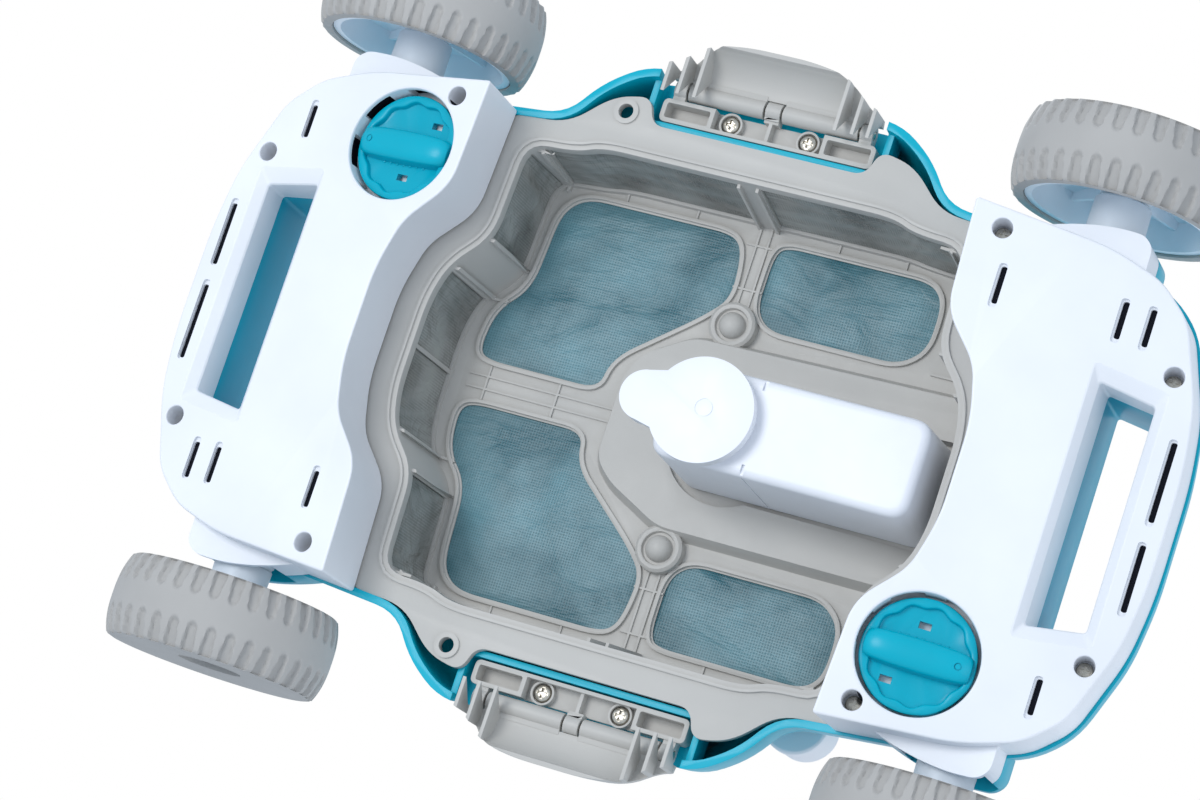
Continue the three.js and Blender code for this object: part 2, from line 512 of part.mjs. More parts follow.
function latch() {
  const plate = [[3.6, -1.6], [8, -2.4], [11.6, -4.4], [14.6, -7.6], [16.6, -11.5], [17.2, -14], [18.9, -14],
    [18.4, -11], [16.4, -6.8], [13, -3.2], [9, -0.9], [3.6, 1.4]];
  const rib = [[-5, -13.4], [17.6, -13.8], [16.8, -11], [14.8, -7.2], [11.8, -4], [8, -2], [4.4, -1.6], [2.4, -4.6]];
  let body = swept(plate, -43, 43);
  [-42.2, -36, -29, 29, 36, 42.2].forEach((x) => { body = body.add(swept(rib, x - 0.8, x + 0.8)); });
  const edge = [...LATCH_EDGE, ...LATCH_EDGE.map(([x, y]) => [-x, y]).reverse()];
  body = body.intersect(prism(edge, 30, 70));
  [[-35, -4], [4, 35]].forEach(([x0, x1]) => {
    body = body.add(rod(barrelRadius, x0, x1)).add(box(x0, x1, hingeY + 1.5, hingeY + 5, hingeZ - 2, hingeZ + 1.5));
  });
  return body.subtract(rod(pinRadius + GAP, -50, 50));
}

const latchScrew = joined(disc(3.5, 54.4, 57 - GAP, 12), disc(1.3, 56, 60, 8));
[['back', (solid) => solid], ['front', halfTurn]].forEach(([name, turn]) => {
  add(`latch_base_${name}`, turn(latchBase()), COLOURS.grey, 0.5);
  add(`latch_${name}`, turn(latch()), COLOURS.grey, 0.5);
  add(`latch_pin_${name}`, turn(rod(pinRadius, -41, 41)), COLOURS.steel, 0.3, 1);
  [1, 2].forEach((number) => {
    const x = number === 1 ? -screwX : screwX;
    add(`latch_screw_${name}_${number}`, turn(at(latchScrew, x, screwY)), COLOURS.steel, 0.3, 1);
  });
});

export default cleaner;
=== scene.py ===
import json
import math

import bmesh
import bpy
from mathutils import Matrix, Vector, noise


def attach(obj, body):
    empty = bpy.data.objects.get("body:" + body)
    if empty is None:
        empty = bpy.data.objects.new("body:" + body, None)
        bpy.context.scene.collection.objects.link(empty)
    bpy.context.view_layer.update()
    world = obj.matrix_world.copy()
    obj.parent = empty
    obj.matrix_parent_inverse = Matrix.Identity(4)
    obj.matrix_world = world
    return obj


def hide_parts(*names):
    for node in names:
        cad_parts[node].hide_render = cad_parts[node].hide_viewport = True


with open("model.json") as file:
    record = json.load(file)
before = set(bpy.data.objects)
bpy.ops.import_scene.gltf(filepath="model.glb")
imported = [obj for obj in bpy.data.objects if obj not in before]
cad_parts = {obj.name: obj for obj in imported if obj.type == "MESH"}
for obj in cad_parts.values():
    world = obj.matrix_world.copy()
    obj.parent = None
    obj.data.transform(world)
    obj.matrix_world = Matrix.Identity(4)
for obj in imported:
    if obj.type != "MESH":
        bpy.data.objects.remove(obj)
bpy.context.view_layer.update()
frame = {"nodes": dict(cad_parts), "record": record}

MM = 0.001  # every outline and height below is in millimetres
WALL, GAP = 2.5, 0.3
WEAVE_PITCH = 0.55
HOUSING_Z, HOUSING_EDGE = 38.0, 3.4
CAP_Z = 30.0
PARTING_Z = 46.0
RIM_Z = 47.0
BASKET_TOP_Z = 91.0
SHELL_SPLIT_Z = 112.0
AXLE_Z = 44.0
WHEEL_X, WHEEL_INNER_Y, WHEEL_WIDTH, WHEEL_RADIUS = 144.0, 111.0, 32.0, 44.0
PIVOT_X, PIVOT_Y, HOOD_Z = 144.0, 82.0, 28.5
KNOB_X, KNOB_Y, RECESS_RADIUS, KNOB_RADIUS, GRIP_REACH, DETENTS = 127.9, 68.3, 22.7, 21.4, 19.9, 7
SEAT_DEPTH, SEAT_WALL, DETENT_REACH = 11.0, 2.0, 2.3
ARM_SPACE_HALF, ARM_SPACE_END = 17.0, 112.0  # room for a turning arm
COVER_ARM_SPACE_START, SHELL_ARM_SPACE_START = 84.0, 86.0
RECESS_DEPTH = 13.0
FACE_LEVEL, FACE_AT_X, FACE_SLOPE = 21.0, 150.0, 0.18
FACE_TILT = math.atan(FACE_SLOPE)
PUMP_X = 17.0
NOZZLE_X, NOZZLE_Y, NOZZLE_RADIUS, NOZZLE_BORE = 69.0, 93.5, 13.5, 8.8
BUTTON_X, BUTTON_RADIUS, BUTTON_HOLE = -40.0, 8.8, 9.3
STUD_X, STUD_Y = -1.0, 46.0
EAR_X, EAR_Y = -55.5, 109.0
HINGE_Y, HINGE_Z, LATCH_SCREW_X, LATCH_SCREW_Y = 124.0, 54.0, 16.0, 115.4
BARREL_RADIUS, HINGE_BORE, PIN_RADIUS = 3.6, 1.9, 1.6

SHELL_QUARTER = [(199, 22), (196, 47), (185, 77), (172, 89), (150, 96), (101, 100.5), (79, 102.5),
                 (68, 118), (52, 129), (20, 129)]
COVER_OUTER = [(198, 22), (195, 46), (184, 76), (171, 88), (150, 95), (98.5, 99.5)]
COVER_INNER = [(100.5, 56), (115.5, 39), (120.5, 19)]
COVER_OUTER_RADII = [12, 9, 6, 6, 9, 1.5]
COVER_INNER_RADII = [8, 6, 9]
FLANGE_QUARTER = [(121.6, 19), (116.6, 39.5), (101.6, 56.5), (99.7, 97.6), (77, 99.4), (62, 114),
                  (47.5, 117), (44, 106.3), (20, 106.3)]
FLANGE_RADII = [9, 6, 8, 3, 8, 8, 5, 5, 5]
TUB_RIM_QUARTER = [(109, 19), (105, 34), (92, 48), (90.5, 88), (70, 89), (60, 93), (20, 93)]
TUB_FLOOR_QUARTER = [(107, 19), (103, 33), (91, 45), (89.5, 85), (68, 86.5), (58, 88), (20, 88)]
LARGE_WINDOW = [(-86, -75), (-77, -83.5), (-13, -83.5), (-7, -77), (-5, -57), (-14, -47), (-44, -22),
                (-46, -8), (-96, -8), (-101, -13), (-99, -30), (-88, -42)]
SMALL_WINDOW = [(8, -83.5), (70, -83.5), (77, -76), (77, -56), (67, -47), (12, -47), (4, -55), (4, -78)]
ISLAND = [(-36, -16), (-31, -26), (-13, -37), (125, -40), (125, 38), (-4, 38), (-28, 26), (-36, 18)]
HOOD = [(163, 90), (163, 100), (159, 104), (148, 104.5), (136, 103), (124, 100), (112, 95.5), (112, 90)]
LATCH_EDGE = [(43.5, 105), (43.5, 130.5), (40, 131.5), (36, 134), (31, 138.5), (25, 141.2), (12, 143)]
LATCH_EDGE_RADII = [1, 1.5, 3, 4, 4, 5, 6]
LATCH_PLATE = [(3.6, -1.6), (6, -1.9), (8, -2.4), (10, -3.3), (11.6, -4.4), (13.2, -5.9), (14.6, -7.6),
               (15.7, -9.5), (16.6, -11.5), (17.2, -14), (19.1, -14), (18.4, -11), (17.5, -8.7),
               (16.4, -6.8), (14.8, -4.9), (13, -3.2), (11, -1.8), (9, -0.9), (6, 0.4), (3.6, 1.4)]
LATCH_RIB = [(-5, -13.4), (17.6, -13.8), (16.8, -11), (14.8, -7.2), (11.8, -4), (8, -2), (4.4, -1.6),
             (2.4, -4.6)]
SIDE_WINDOWS = [(-85, -49), (-32, -0.8), (0.8, 32), (49, 85)]
LONG_WINDOWS = [(-83, -5), (5, 83)]
WINDOW_Z = (51.5, 88.5)
COVER_SCREWS = [(-110.8, -91), (-184.8, -55), (-185, 55), (-111, 90.5)]
DRAIN_SLOTS = [(-171, -79, -63), (-171, 61, 78), (-160.8, 61, 78), (-115.5, 61, 78), (-191.5, -34, -6),
               (-191.5, 0, 33)]
HANDLE = [(-181, -43), (-157, -47), (-157, 47), (-181, 43)]
GRIP_HOLE = [(-181, -43), (-159.5, -46.5), (-159.5, 46.5), (-181, 43)]
GRIP_LEAD_IN = [(-185, -48), (-157, -52), (-157, 52), (-185, 48)]
DOME = [(46, 1, 1), (62, .99, .985), (75, .94, .975), (79, .72, .97), (96, .7, .95), (118, .61, .82),
        (138, .5, .68), (147, .42, .57), (150, .34, .46)]  # height, x scale, y scale
SOFT_RIM = ((1, 0), (0.62, 0.08), (0.3, 0.3), (0.08, 0.62), (0, 1))  # shares moved in, and up
CORNERS = [("left_front", -1, -1), ("right_front", 1, -1), ("left_back", -1, 1), ("right_back", 1, 1)]


# ---------- outlines ----------

def mirrored(quarter):
    back = quarter[::-1]
    return (quarter + [(-x, y) for x, y in back] + [(-x, -y) for x, y in quarter]
            + [(x, -y) for x, y in back])


def all_quarters(values):
    return (values + values[::-1]) * 2


def flipped(points):
    return [(x, -y) for x, y in points][::-1]


def rounded(points, radii, steps=6):
    """Replaces each corner by a parabolic arc that reaches its radius along both sides."""
    out = []
    for i, corner in enumerate(points):
        radius = radii[i] if isinstance(radii, list) else radii
        here = Vector(corner)
        ends = []
        for other in (points[i - 1], points[(i + 1) % len(points)]):
            side = Vector(other) - here
            ends.append(here + side.normalized() * min(radius, side.length * 0.45))
        for k in range(steps + 1):
            t = k / steps
            p = ends[0] * (1 - t) ** 2 + here * 2 * t * (1 - t) + ends[1] * t * t
            out.append((p.x, p.y))
    return out


def inset(points, distance):
    out = []
    for i, corner in enumerate(points):
        here = Vector(corner)
        d1 = (here - Vector(points[i - 1])).normalized()
        d2 = (Vector(points[(i + 1) % len(points)]) - here).normalized()
        n1, n2 = Vector((-d1.y, d1.x)), Vector((-d2.y, d2.x))
        move = (n1 + n2) * (distance / max(0.4, 1 + n1.dot(n2)))
        out.append((here.x + move.x, here.y + move.y))
    return out


def span(side, near, far):
    """The stretch from near to far on one side of the middle, lower end first."""
    return sorted((side * near, side * far))


def face_z(x):
    return FACE_LEVEL + FACE_SLOPE * (abs(x) - FACE_AT_X)


# ---------- solids, made in millimetres and kept in metres ----------

def make(vertices, faces):
    mesh = bpy.data.meshes.new("work")
    mesh.from_pydata([Vector(v) * MM for v in vertices], [], faces)
    obj = bpy.data.objects.new("work", mesh)
    bpy.context.scene.collection.objects.link(obj)
    return obj


def loft(rings):
    count = len(rings[0])
    vertices = [v for ring in rings for v in ring]
    faces = [tuple(range(count))[::-1], tuple(range(len(vertices) - count, len(vertices)))]
    for r in range(len(rings) - 1):
        for i in range(count):
            a, b = r * count + i, r * count + (i + 1) % count
            faces.append((a, b, b + count, a + count))
    return make(vertices, faces)


def prism(points, z0, z1):
    return loft([[(x, y, z) for x, y in points] for z in (z0, z1)])


def box(x0, x1, y0, y1, z0, z1):
    return prism([(x0, y0), (x1, y0), (x1, y1), (x0, y1)], z0, z1)


def slab(x0, x1, y0, y1, z0, z1, radius):
    return prism(rounded([(x0, y0), (x1, y0), (x1, y1), (x0, y1)], radius), z0, z1)


def turned(profile, segments=64):
    """Round solid about +Z. The profile of (radius, height) starts and ends on the axis, going up."""
    vertices = [(0, 0, profile[0][1])]
    inner = profile[1:-1]
    for radius, height in inner:
        for s in range(segments):
            a = 2 * math.pi * s / segments
            vertices.append((radius * math.cos(a), radius * math.sin(a), height))
    vertices.append((0, 0, profile[-1][1]))
    last = len(vertices) - 1
    faces = []
    for s in range(segments):
        t = (s + 1) % segments
        faces.append((0, 1 + t, 1 + s))
        for r in range(len(inner) - 1):
            a, b = 1 + r * segments, 1 + (r + 1) * segments
            faces.append((a + s, a + t, b + t, b + s))
        a = 1 + (len(inner) - 1) * segments
        faces.append((a + s, a + t, last))
    return make(vertices, faces)


def disc(radius, z0, z1, segments=64):
    return turned([(0, z0), (radius, z0), (radius, z1), (0, z1)], segments)


def combine(base, tool, operation, keep=False):
    modifier = base.modifiers.new("join", "BOOLEAN")
    modifier.operation = operation
    modifier.solver = "MANIFOLD"
    modifier.object = tool
    bpy.context.view_layer.update()
    mesh = bpy.data.meshes.new_from_object(base.evaluated_get(bpy.context.evaluated_depsgraph_get()))
    base.modifiers.clear()
    base.data = mesh
    if not keep:
        bpy.data.objects.remove(tool)
    return base


def cut(base, *tools):
    for tool in tools:
        combine(base, tool, "DIFFERENCE")
    return base


def join(base, *others):
    for other in others:
        combine(base, other, "UNION")
    return base


def meet(base, other, keep=False):
    return combine(base, other, "INTERSECT", keep)


def moved(obj, x=0.0, y=0.0, z=0.0):
    obj.data.transform(Matrix.Translation((x * MM, y * MM, z * MM)))
    return obj


def turned_by(obj, degrees, axis):
    obj.data.transform(Matrix.Rotation(math.radians(degrees), 4, axis))
    return obj


def along_y(obj):
    return turned_by(obj, -90, "X")


def along_x(obj):
    return turned_by(obj, 90, "Y")


def half_turn(obj):
    return turned_by(obj, 180, "Z")


def copy_of(obj):
    other = bpy.data.objects.new("work", obj.data.copy())
    bpy.context.scene.collection.objects.link(other)
    return other


def on_face(obj, x, y):
    """Stands a solid on the left cover's sloping face, its +Z pointing into the cover."""
    obj.data.transform(Matrix.Rotation(FACE_TILT, 4, "Y"))
    return moved(obj, x, y, face_z(x))


def at_knob(obj):
    return on_face(obj, -KNOB_X, -KNOB_Y)


def finish_piece(obj, name, body, material, replaces=(), bevel=0.5, segments=3, smooth=38):
    mesh = obj.data
    work = bmesh.new()
    work.from_mesh(mesh)
    bmesh.ops.remove_doubles(work, verts=work.verts, dist=0.00001 if bevel else 0.000001)
    if bevel:
        bmesh.ops.dissolve_limit(work, angle_limit=math.radians(0.3), verts=work.verts, edges=work.edges)
    work.to_mesh(mesh)
    work.free()
    if bevel:
        modifier = obj.modifiers.new("edges", "BEVEL")
        modifier.limit_method = "ANGLE"
        modifier.angle_limit = math.radians(smooth)
        modifier.width = bevel * MM
        modifier.segments = segments
        modifier.use_clamp_overlap = True
        modifier.harden_normals = False
        bpy.context.view_layer.update()
        mesh = bpy.data.meshes.new_from_object(obj.evaluated_get(bpy.context.evaluated_depsgraph_get()))
        obj.modifiers.clear()
        obj.data = mesh
    mesh.shade_smooth()
    mesh.set_sharp_from_angle(angle=math.radians(smooth))
    mesh.materials.clear()
    mesh.materials.append(material)
    obj.name = name
    mesh.name = name
    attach(obj, body)
    if replaces:
        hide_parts(*replaces)
    return obj


# ---------- materials ----------

def start_material(name):
    material = bpy.data.materials.new(name)
    material.use_nodes = True
    nodes = material.node_tree.nodes
    nodes.clear()
    output = nodes.new("ShaderNodeOutputMaterial")
    shader = nodes.new("ShaderNodeBsdfPrincipled")
    material.node_tree.links.new(shader.outputs[0], output.inputs["Surface"])
    place = nodes.new("ShaderNodeTexCoord")
    return material, nodes, material.node_tree.links, shader, place


def noise_node(nodes, links, place, scale, detail=3.0):
    texture = nodes.new("ShaderNodeTexNoise")
    texture.inputs["Scale"].default_value = scale
    texture.inputs["Detail"].default_value = detail
    links.new(place.outputs["Object"], texture.inputs["Vector"])
    return texture


def ramp_node(nodes, links, source, stops):
    ramp = nodes.new("ShaderNodeValToRGB")
    elements = ramp.color_ramp.elements
    while len(elements) < len(stops):
        elements.new(0.5)
    for element, (position, color) in zip(elements, stops):
        element.position = position
        element.color = (*color, 1)
    links.new(source, ramp.inputs["Fac"])
    return ramp


def range_node(nodes, links, source, low, high):
    spread = nodes.new("ShaderNodeMapRange")
    spread.inputs["To Min"].default_value = low
    spread.inputs["To Max"].default_value = high
    links.new(source, spread.inputs["Value"])
    return spread


def bump_node(nodes, links, source, strength, distance):
    bump = nodes.new("ShaderNodeBump")
    bump.inputs["Strength"].default_value = strength
    bump.inputs["Distance"].default_value = distance
    links.new(source, bump.inputs["Height"])
    return bump


def shade(color, factor):
    return tuple(min(1.0, c * factor) for c in color)


def moulded(name, color, roughness, grain=0.12, grain_scale=1400, spread=0.035, coat=0.0, specular=0.4):
    """Moulded plastic: soft cloudy tone, faint scuffs in the gloss, a fine spark-eroded grain."""
    material, nodes, links, shader, place = start_material(name)
    cloud = noise_node(nodes, links, place, 22, 4)
    tone = ramp_node(nodes, links, cloud.outputs["Fac"], [(0.3, shade(color, 1 - spread)),
                                                        (0.7, shade(color, 1 + spread))])
    links.new(tone.outputs["Color"], shader.inputs["Base Color"])
    scuff = noise_node(nodes, links, place, 160, 5)
    gloss = range_node(nodes, links, scuff.outputs["Fac"], roughness * 0.85, roughness * 1.2)
    links.new(gloss.outputs["Result"], shader.inputs["Roughness"])
    fine = noise_node(nodes, links, place, grain_scale, 2)
    bump = bump_node(nodes, links, fine.outputs["Fac"], grain, 0.1 * MM)
    links.new(bump.outputs["Normal"], shader.inputs["Normal"])
    shader.inputs["Specular IOR Level"].default_value = specular
    shader.inputs["Coat Weight"].default_value = coat
    shader.inputs["Coat Roughness"].default_value = 0.12
    return material


def metal(name, color, roughness):
    material, nodes, links, shader, place = start_material(name)
    streak = noise_node(nodes, links, place, 700, 6)
    tone = ramp_node(nodes, links, streak.outputs["Fac"], [(0.3, shade(color, 0.75)), (0.7, color)])
    links.new(tone.outputs["Color"], shader.inputs["Base Color"])
    gloss = range_node(nodes, links, streak.outputs["Fac"], roughness * 0.7, roughness * 1.4)
    links.new(gloss.outputs["Result"], shader.inputs["Roughness"])
    shader.inputs["Metallic"].default_value = 1.0
    return material


def woven(name, dark, light, openness, roughness, crease):
    """Fine plain weave: crossing threads with small gaps, uneven tone, and creases that catch the light."""
    material, nodes, links, shader, place = start_material(name)
    threads = []
    for direction in ("X", "Y", "Z"):
        wave = nodes.new("ShaderNodeTexWave")
        wave.wave_type = "BANDS"
        wave.bands_direction = direction
        wave.inputs["Scale"].default_value = math.pi / (20 * WEAVE_PITCH * MM)
        wave.inputs["Distortion"].default_value = 0.0
        links.new(place.outputs["Object"], wave.inputs["Vector"])
        threads.append(wave.outputs["Fac"])
    first = nodes.new("ShaderNodeMath")
    first.operation = "MULTIPLY"
    links.new(threads[0], first.inputs[0])
    links.new(threads[1], first.inputs[1])
    second = nodes.new("ShaderNodeMath")
    second.operation = "MULTIPLY_ADD"
    second.inputs[1].default_value = 0.4
    links.new(threads[2], second.inputs[0])
    links.new(first.outputs[0], second.inputs[2])
    cloud = noise_node(nodes, links, place, 34, 6)
    tone = ramp_node(nodes, links, cloud.outputs["Fac"],
                     [(0.34, dark), (0.5, shade(light, 0.8)), (0.66, light)])
    links.new(tone.outputs["Color"], shader.inputs["Base Color"])
    alpha = range_node(nodes, links, second.outputs[0], 1.0, 1.0 - openness)
    links.new(alpha.outputs["Result"], shader.inputs["Alpha"])
    stretch = nodes.new("ShaderNodeMapping")
    stretch.inputs["Scale"].default_value = (26, 60, 40)
    stretch.inputs["Rotation"].default_value = (0, 0, 0.35)
    links.new(place.outputs["Object"], stretch.inputs["Vector"])
    folds = nodes.new("ShaderNodeTexNoise")
    folds.inputs["Scale"].default_value = 1.0
    folds.inputs["Detail"].default_value = 5.0
    folds.inputs["Distortion"].default_value = 1.2
    links.new(stretch.outputs["Vector"], folds.inputs["Vector"])
    creases = bump_node(nodes, links, folds.outputs["Fac"], crease, 4.5 * MM)
    bump = bump_node(nodes, links, second.outputs[0], 0.35, 0.15 * MM)
    links.new(creases.outputs["Normal"], bump.inputs["Normal"])
    links.new(bump.outputs["Normal"], shader.inputs["Normal"])
    shader.inputs["Roughness"].default_value = roughness
    return material


def laminate(name):
    material, nodes, links, shader, place = start_material(name)
    cells = nodes.new("ShaderNodeTexVoronoi")
    cells.inputs["Scale"].default_value = 220
    links.new(place.outputs["Object"], cells.inputs["Vector"])
    tone = ramp_node(nodes, links, cells.outputs["Distance"],
                     [(0.1, (0.35, 0.3, 0.12)), (0.3, (0.01, 0.12, 0.05))])
    links.new(tone.outputs["Color"], shader.inputs["Base Color"])
    shader.inputs["Roughness"].default_value = 0.4
    return material


WHITE = moulded("white_plastic", (0.82, 0.84, 0.88), 0.42, grain=0.08, coat=0.05)
HOUSING_WHITE = moulded("housing_plastic", (0.82, 0.84, 0.89), 0.36, grain=0.05)
TEAL = moulded("teal_plastic", (0.0, 0.42, 0.56), 0.3, grain=0.04, spread=0.06, coat=0.04, specular=0.22)
GREY = moulded("grey_plastic", (0.51, 0.497, 0.47), 0.42, grain=0.10, specular=0.3)
TYRE = moulded("tyre_rubber", (0.43, 0.42, 0.405), 0.6, grain=0.3, grain_scale=900, spread=0.06,
               specular=0.3)
HUB = moulded("hub_plastic", (0.84, 0.91, 0.98), 0.36, grain=0.08)
SLEEVE = moulded("sleeve_plastic", (0.68, 0.73, 0.78), 0.42, grain=0.10)
DARK = moulded("pump_plastic", (0.008, 0.009, 0.014), 0.8, grain=0.15, specular=0.08)
RUBBER = moulded("seal_rubber", (0.02, 0.02, 0.02), 0.7, grain=0.3)
WRAP = moulded("battery_wrap", (0.05, 0.13, 0.3), 0.3, grain=0.1)
STEEL = metal("screw_steel", (0.62, 0.58, 0.5), 0.28)
MOTOR_STEEL = metal("motor_steel", (0.58, 0.58, 0.6), 0.3)
MESH = woven("filter_mesh", (0.03, 0.14, 0.18), (0.12, 0.29, 0.345), 0.35, 0.36, 0.22)
WALL_MESH = woven("wall_mesh", (0.2, 0.2, 0.185), (0.42, 0.425, 0.40), 0.25, 0.24, 0.9)
BOARD = laminate("board_laminate")

SLOT_MATERIALS = {"white_plastic": WHITE, "housing_plastic": HOUSING_WHITE, "teal_plastic": TEAL,
                  "grey_plastic": GREY, "filter_mesh": MESH, "tyre_rubber": TYRE, "hub_plastic": HUB,
                  "sleeve_plastic": SLEEVE, "screw_steel": STEEL, "motor_steel": MOTOR_STEEL,
                  "pump_plastic": DARK, "battery_wrap": WRAP, "board_laminate": BOARD,
                  "seal_rubber": RUBBER}

for part in frame["record"]["subparts"]:
    node = frame["nodes"][part["node"]]
    node.data.materials.clear()
    node.data.materials.append(SLOT_MATERIALS[part["material_slot"]])


# ---------- end covers ----------

cover_side = flipped(COVER_OUTER) + COVER_OUTER + COVER_INNER + flipped(COVER_INNER)
cover_corners = [(-x, -y) for x, y in cover_side]
cover_radii = COVER_OUTER_RADII[::-1] + COVER_OUTER_RADII + COVER_INNER_RADII + COVER_INNER_RADII[::-1]


def cover_plan(back):
    """The left cover's outline, moved in by back before its corners are rounded."""
    return rounded(inset(cover_corners, back), [max(0.6, radius - back) for radius in cover_radii], 8)


def cover_block(back, lift, top=PARTING_Z, soft=0.0):
    """Block under the cover's plan; its rim at the sloping face is rounded by soft."""
    rings = [[(x, y, face_z(x) + lift + soft * rise) for x, y in cover_plan(back + soft * more)]
             for more, rise in (SOFT_RIM if soft else SOFT_RIM[-1:])]
    return loft(rings + [[(x, y, top) for x, y in cover_plan(back)]])


def handle_prism(grow, z0, z1):
    return prism(rounded(inset(HANDLE, -grow), 1.6 + grow), z0, z1)


def grip_cut():
    """The hand hole with its sloping lead-in, as one tool."""
    wide = rounded(GRIP_LEAD_IN, 2)
    deep = rounded(GRIP_HOLE, 1.5)
    soft = inset(wide, -0.6)
    return loft([[(x, y, 2) for x, y in soft],
                 [(x, y, face_z(x) - 0.01) for x, y in soft],
                 [(x, y, face_z(x) + 0.25) for x, y in wide],
                 [(x, y, face_z(x) + 3.4) for x, y in inset(deep, -0.5)],
                 [(x, y, face_z(x) + 4.2) for x, y in deep],
                 [(x, y, 80) for x, y in deep]])


def on_plan(points, depth, start=None):
    """Prism over a plan outline between two depths below the sloping face."""
    first = [(x, y, 2 if start is None else face_z(x) + start) for x, y in points]
    return loft([first, [(x, y, face_z(x) + depth) for x, y in points]])


def sunk(radius, depth, segments, soft=0.5):
    """Round recess with a softened mouth, opening towards -Z."""
    return turned([(0, -8), (radius + soft, -8), (radius + soft, -0.01), (radius + soft * 0.3, soft * 0.3),
                   (radius, soft), (radius, depth), (0, depth)], segments)


def hood(end, side, z0, z1):
    points = rounded([(end * x, side * y) for x, y in HOOD], [0.1, 3, 3, 6, 6, 6, 2, 0.1], 4)
    return prism(points if end * side > 0 else points[::-1], z0, z1)


def stadium(x, y0, y1, half):
    return rounded([(x - half, y0), (x + half, y0), (x + half, y1), (x - half, y1)], half)


def end_cover():
    cover = cut(cover_block(0, 0, soft=0.9), cover_block(WALL, WALL, PARTING_Z + 5))
    inside = cover_block(0.5, 0.5)
    additions = [handle_prism(WALL + 5, 10, 60),
                 at_knob(disc(RECESS_RADIUS + SEAT_WALL, 0, SEAT_DEPTH + SEAT_WALL))]
    additions += [on_face(disc(5.5, 0, RECESS_DEPTH + 2, 32), x, y) for x, y in COVER_SCREWS]
    for addition in additions:
        join(cover, meet(addition, inside, keep=True))
    bpy.data.objects.remove(inside)
    for side in (-1, 1):
        join(cover, hood(-1, side, HOOD_Z, PARTING_Z))
        low, high = span(side, COVER_ARM_SPACE_START, ARM_SPACE_END)
        cut(cover, box(-PIVOT_X - ARM_SPACE_HALF, -PIVOT_X + ARM_SPACE_HALF, low, high, 31.5, 60))
        join(cover, moved(disc(3, 31.5 if side < 0 else 21, 57, 32), -PIVOT_X, side * PIVOT_Y))
    cut(cover, grip_cut(), at_knob(sunk(RECESS_RADIUS, SEAT_DEPTH, 128, 0.8)))
    cut(cover, at_knob(disc(4.3, 0, 20, 32)))
    for i in range(DETENTS):
        notch = box(RECESS_RADIUS - 3, RECESS_RADIUS + DETENT_REACH, -6.2, 6.2, 2.2, 10.4)
        cut(cover, at_knob(turned_by(notch, 360 / DETENTS * i + 12, "Z")))
    for x, y in COVER_SCREWS:
        cut(cover, on_face(sunk(3.8, RECESS_DEPTH, 48), x, y))
    for x, y0, y1 in DRAIN_SLOTS:
        cut(cover, on_plan(stadium(x, y0, y1, 1.6), 1.4))
        cut(cover, on_plan(stadium(x - 0.2, y0 + 1.8, y1 - 0.8, 1.2), 6))
    return cover


def slot_shade_strips():
    """Painted shade: dark strips behind the drain slots, standing in for the shade inside the cover."""
    shade_strips = None
    for x, y0, y1 in DRAIN_SLOTS:
        strip = on_plan(stadium(x, y0, y1, 2.2), 3.2, 2.55)
        shade_strips = join(shade_strips, strip) if shade_strips else strip
    return shade_strips


def cover_bolts():
    bolts = None
    for x, y in COVER_SCREWS:
        bolt = on_face(moved(turned_by(screw_head(3.2, 1.6), 180, "X"), 0, 0, RECESS_DEPTH - 0.2), x, y)
        bolts = join(bolts, bolt) if bolts else bolt
    return bolts


def screw_head(radius, thickness):
    """A domed cross-head screw standing on its rim, head up +Z."""
    head = turned([(0, 0), (radius, 0), (radius, thickness * 0.45), (radius * 0.86, thickness * 0.8),
                   (radius * 0.5, thickness * 0.97), (0, thickness)], 48)
    slot = radius * 0.16
    reach = radius * 0.58
    for sideways in (0, 90):
        cut(head, turned_by(box(-reach, reach, -slot, slot, thickness * 0.35, thickness * 2), sideways, "Z"))
    return head


def detent_shade_ring():
    """Painted shade: a dark band just outside the knob's notches, standing in for the shade in the gaps
    behind them.
    """
    return at_knob(cut(disc(RECESS_RADIUS + 2.7, 1.8, 11.5, 96), disc(RECESS_RADIUS + 2.1, 0, 20, 96)))


left_cover = end_cover()
right_cover = half_turn(copy_of(left_cover))
left_bolts = cover_bolts()
right_bolts = half_turn(copy_of(left_bolts))
for side_name, cover, bolts in (("left", left_cover, left_bolts), ("right", right_cover, right_bolts)):
    finish_piece(cover, f"cover_{side_name}_moulding", "root", WHITE,
                 (f"end_cover_{side_name}",), bevel=0, smooth=11)
    finish_piece(bolts, f"cover_bolts_{side_name}", "root", STEEL, bevel=0)
    shade_strips, ring = slot_shade_strips(), detent_shade_ring()
    if side_name == "right":
        half_turn(ring)
        half_turn(shade_strips)
    # The dark slot strips are painted shade, standing in for the shade inside the cover.
    finish_piece(shade_strips, f"slot_backing_{side_name}", "root", DARK, bevel=0)
    # The dark detent ring is painted shade, standing in for the shade behind the notches.
    finish_piece(ring, f"detent_shade_ring_{side_name}", "root", DARK, bevel=0)


# ---------- shell and top cover ----------

def smooth_profile(stops):
    """Rounds the corners of the dome's list of (height, x scale, y scale)."""
    steps = 4
    out = [stops[0]]
    for before, here, after in zip(stops, stops[1:], stops[2:]):
        for k in range(steps + 1):
            t = k / steps
            a = [h + (b - h) * 0.45 for h, b in zip(here, before)]
            c = [h + (n - h) * 0.45 for h, n in zip(here, after)]
            out.append(tuple(p * (1 - t) ** 2 + 2 * q * t * (1 - t) + r * t * t
                             for p, q, r in zip(a, here, c)))
    return out + [stops[-1]]


def dome(plan, drop, start):
    return loft([[(x * sx, y * sy, start if z == DOME[0][0] else z - drop) for x, y in plan]
                 for z, sx, sy in smooth_profile(DOME)])


shell_plan = rounded(mirrored(SHELL_QUARTER), 9, 5)
hollow_shell = cut(dome(shell_plan, 0, PARTING_Z + GAP),
                   dome(inset(shell_plan, WALL), WALL, PARTING_Z - 10))


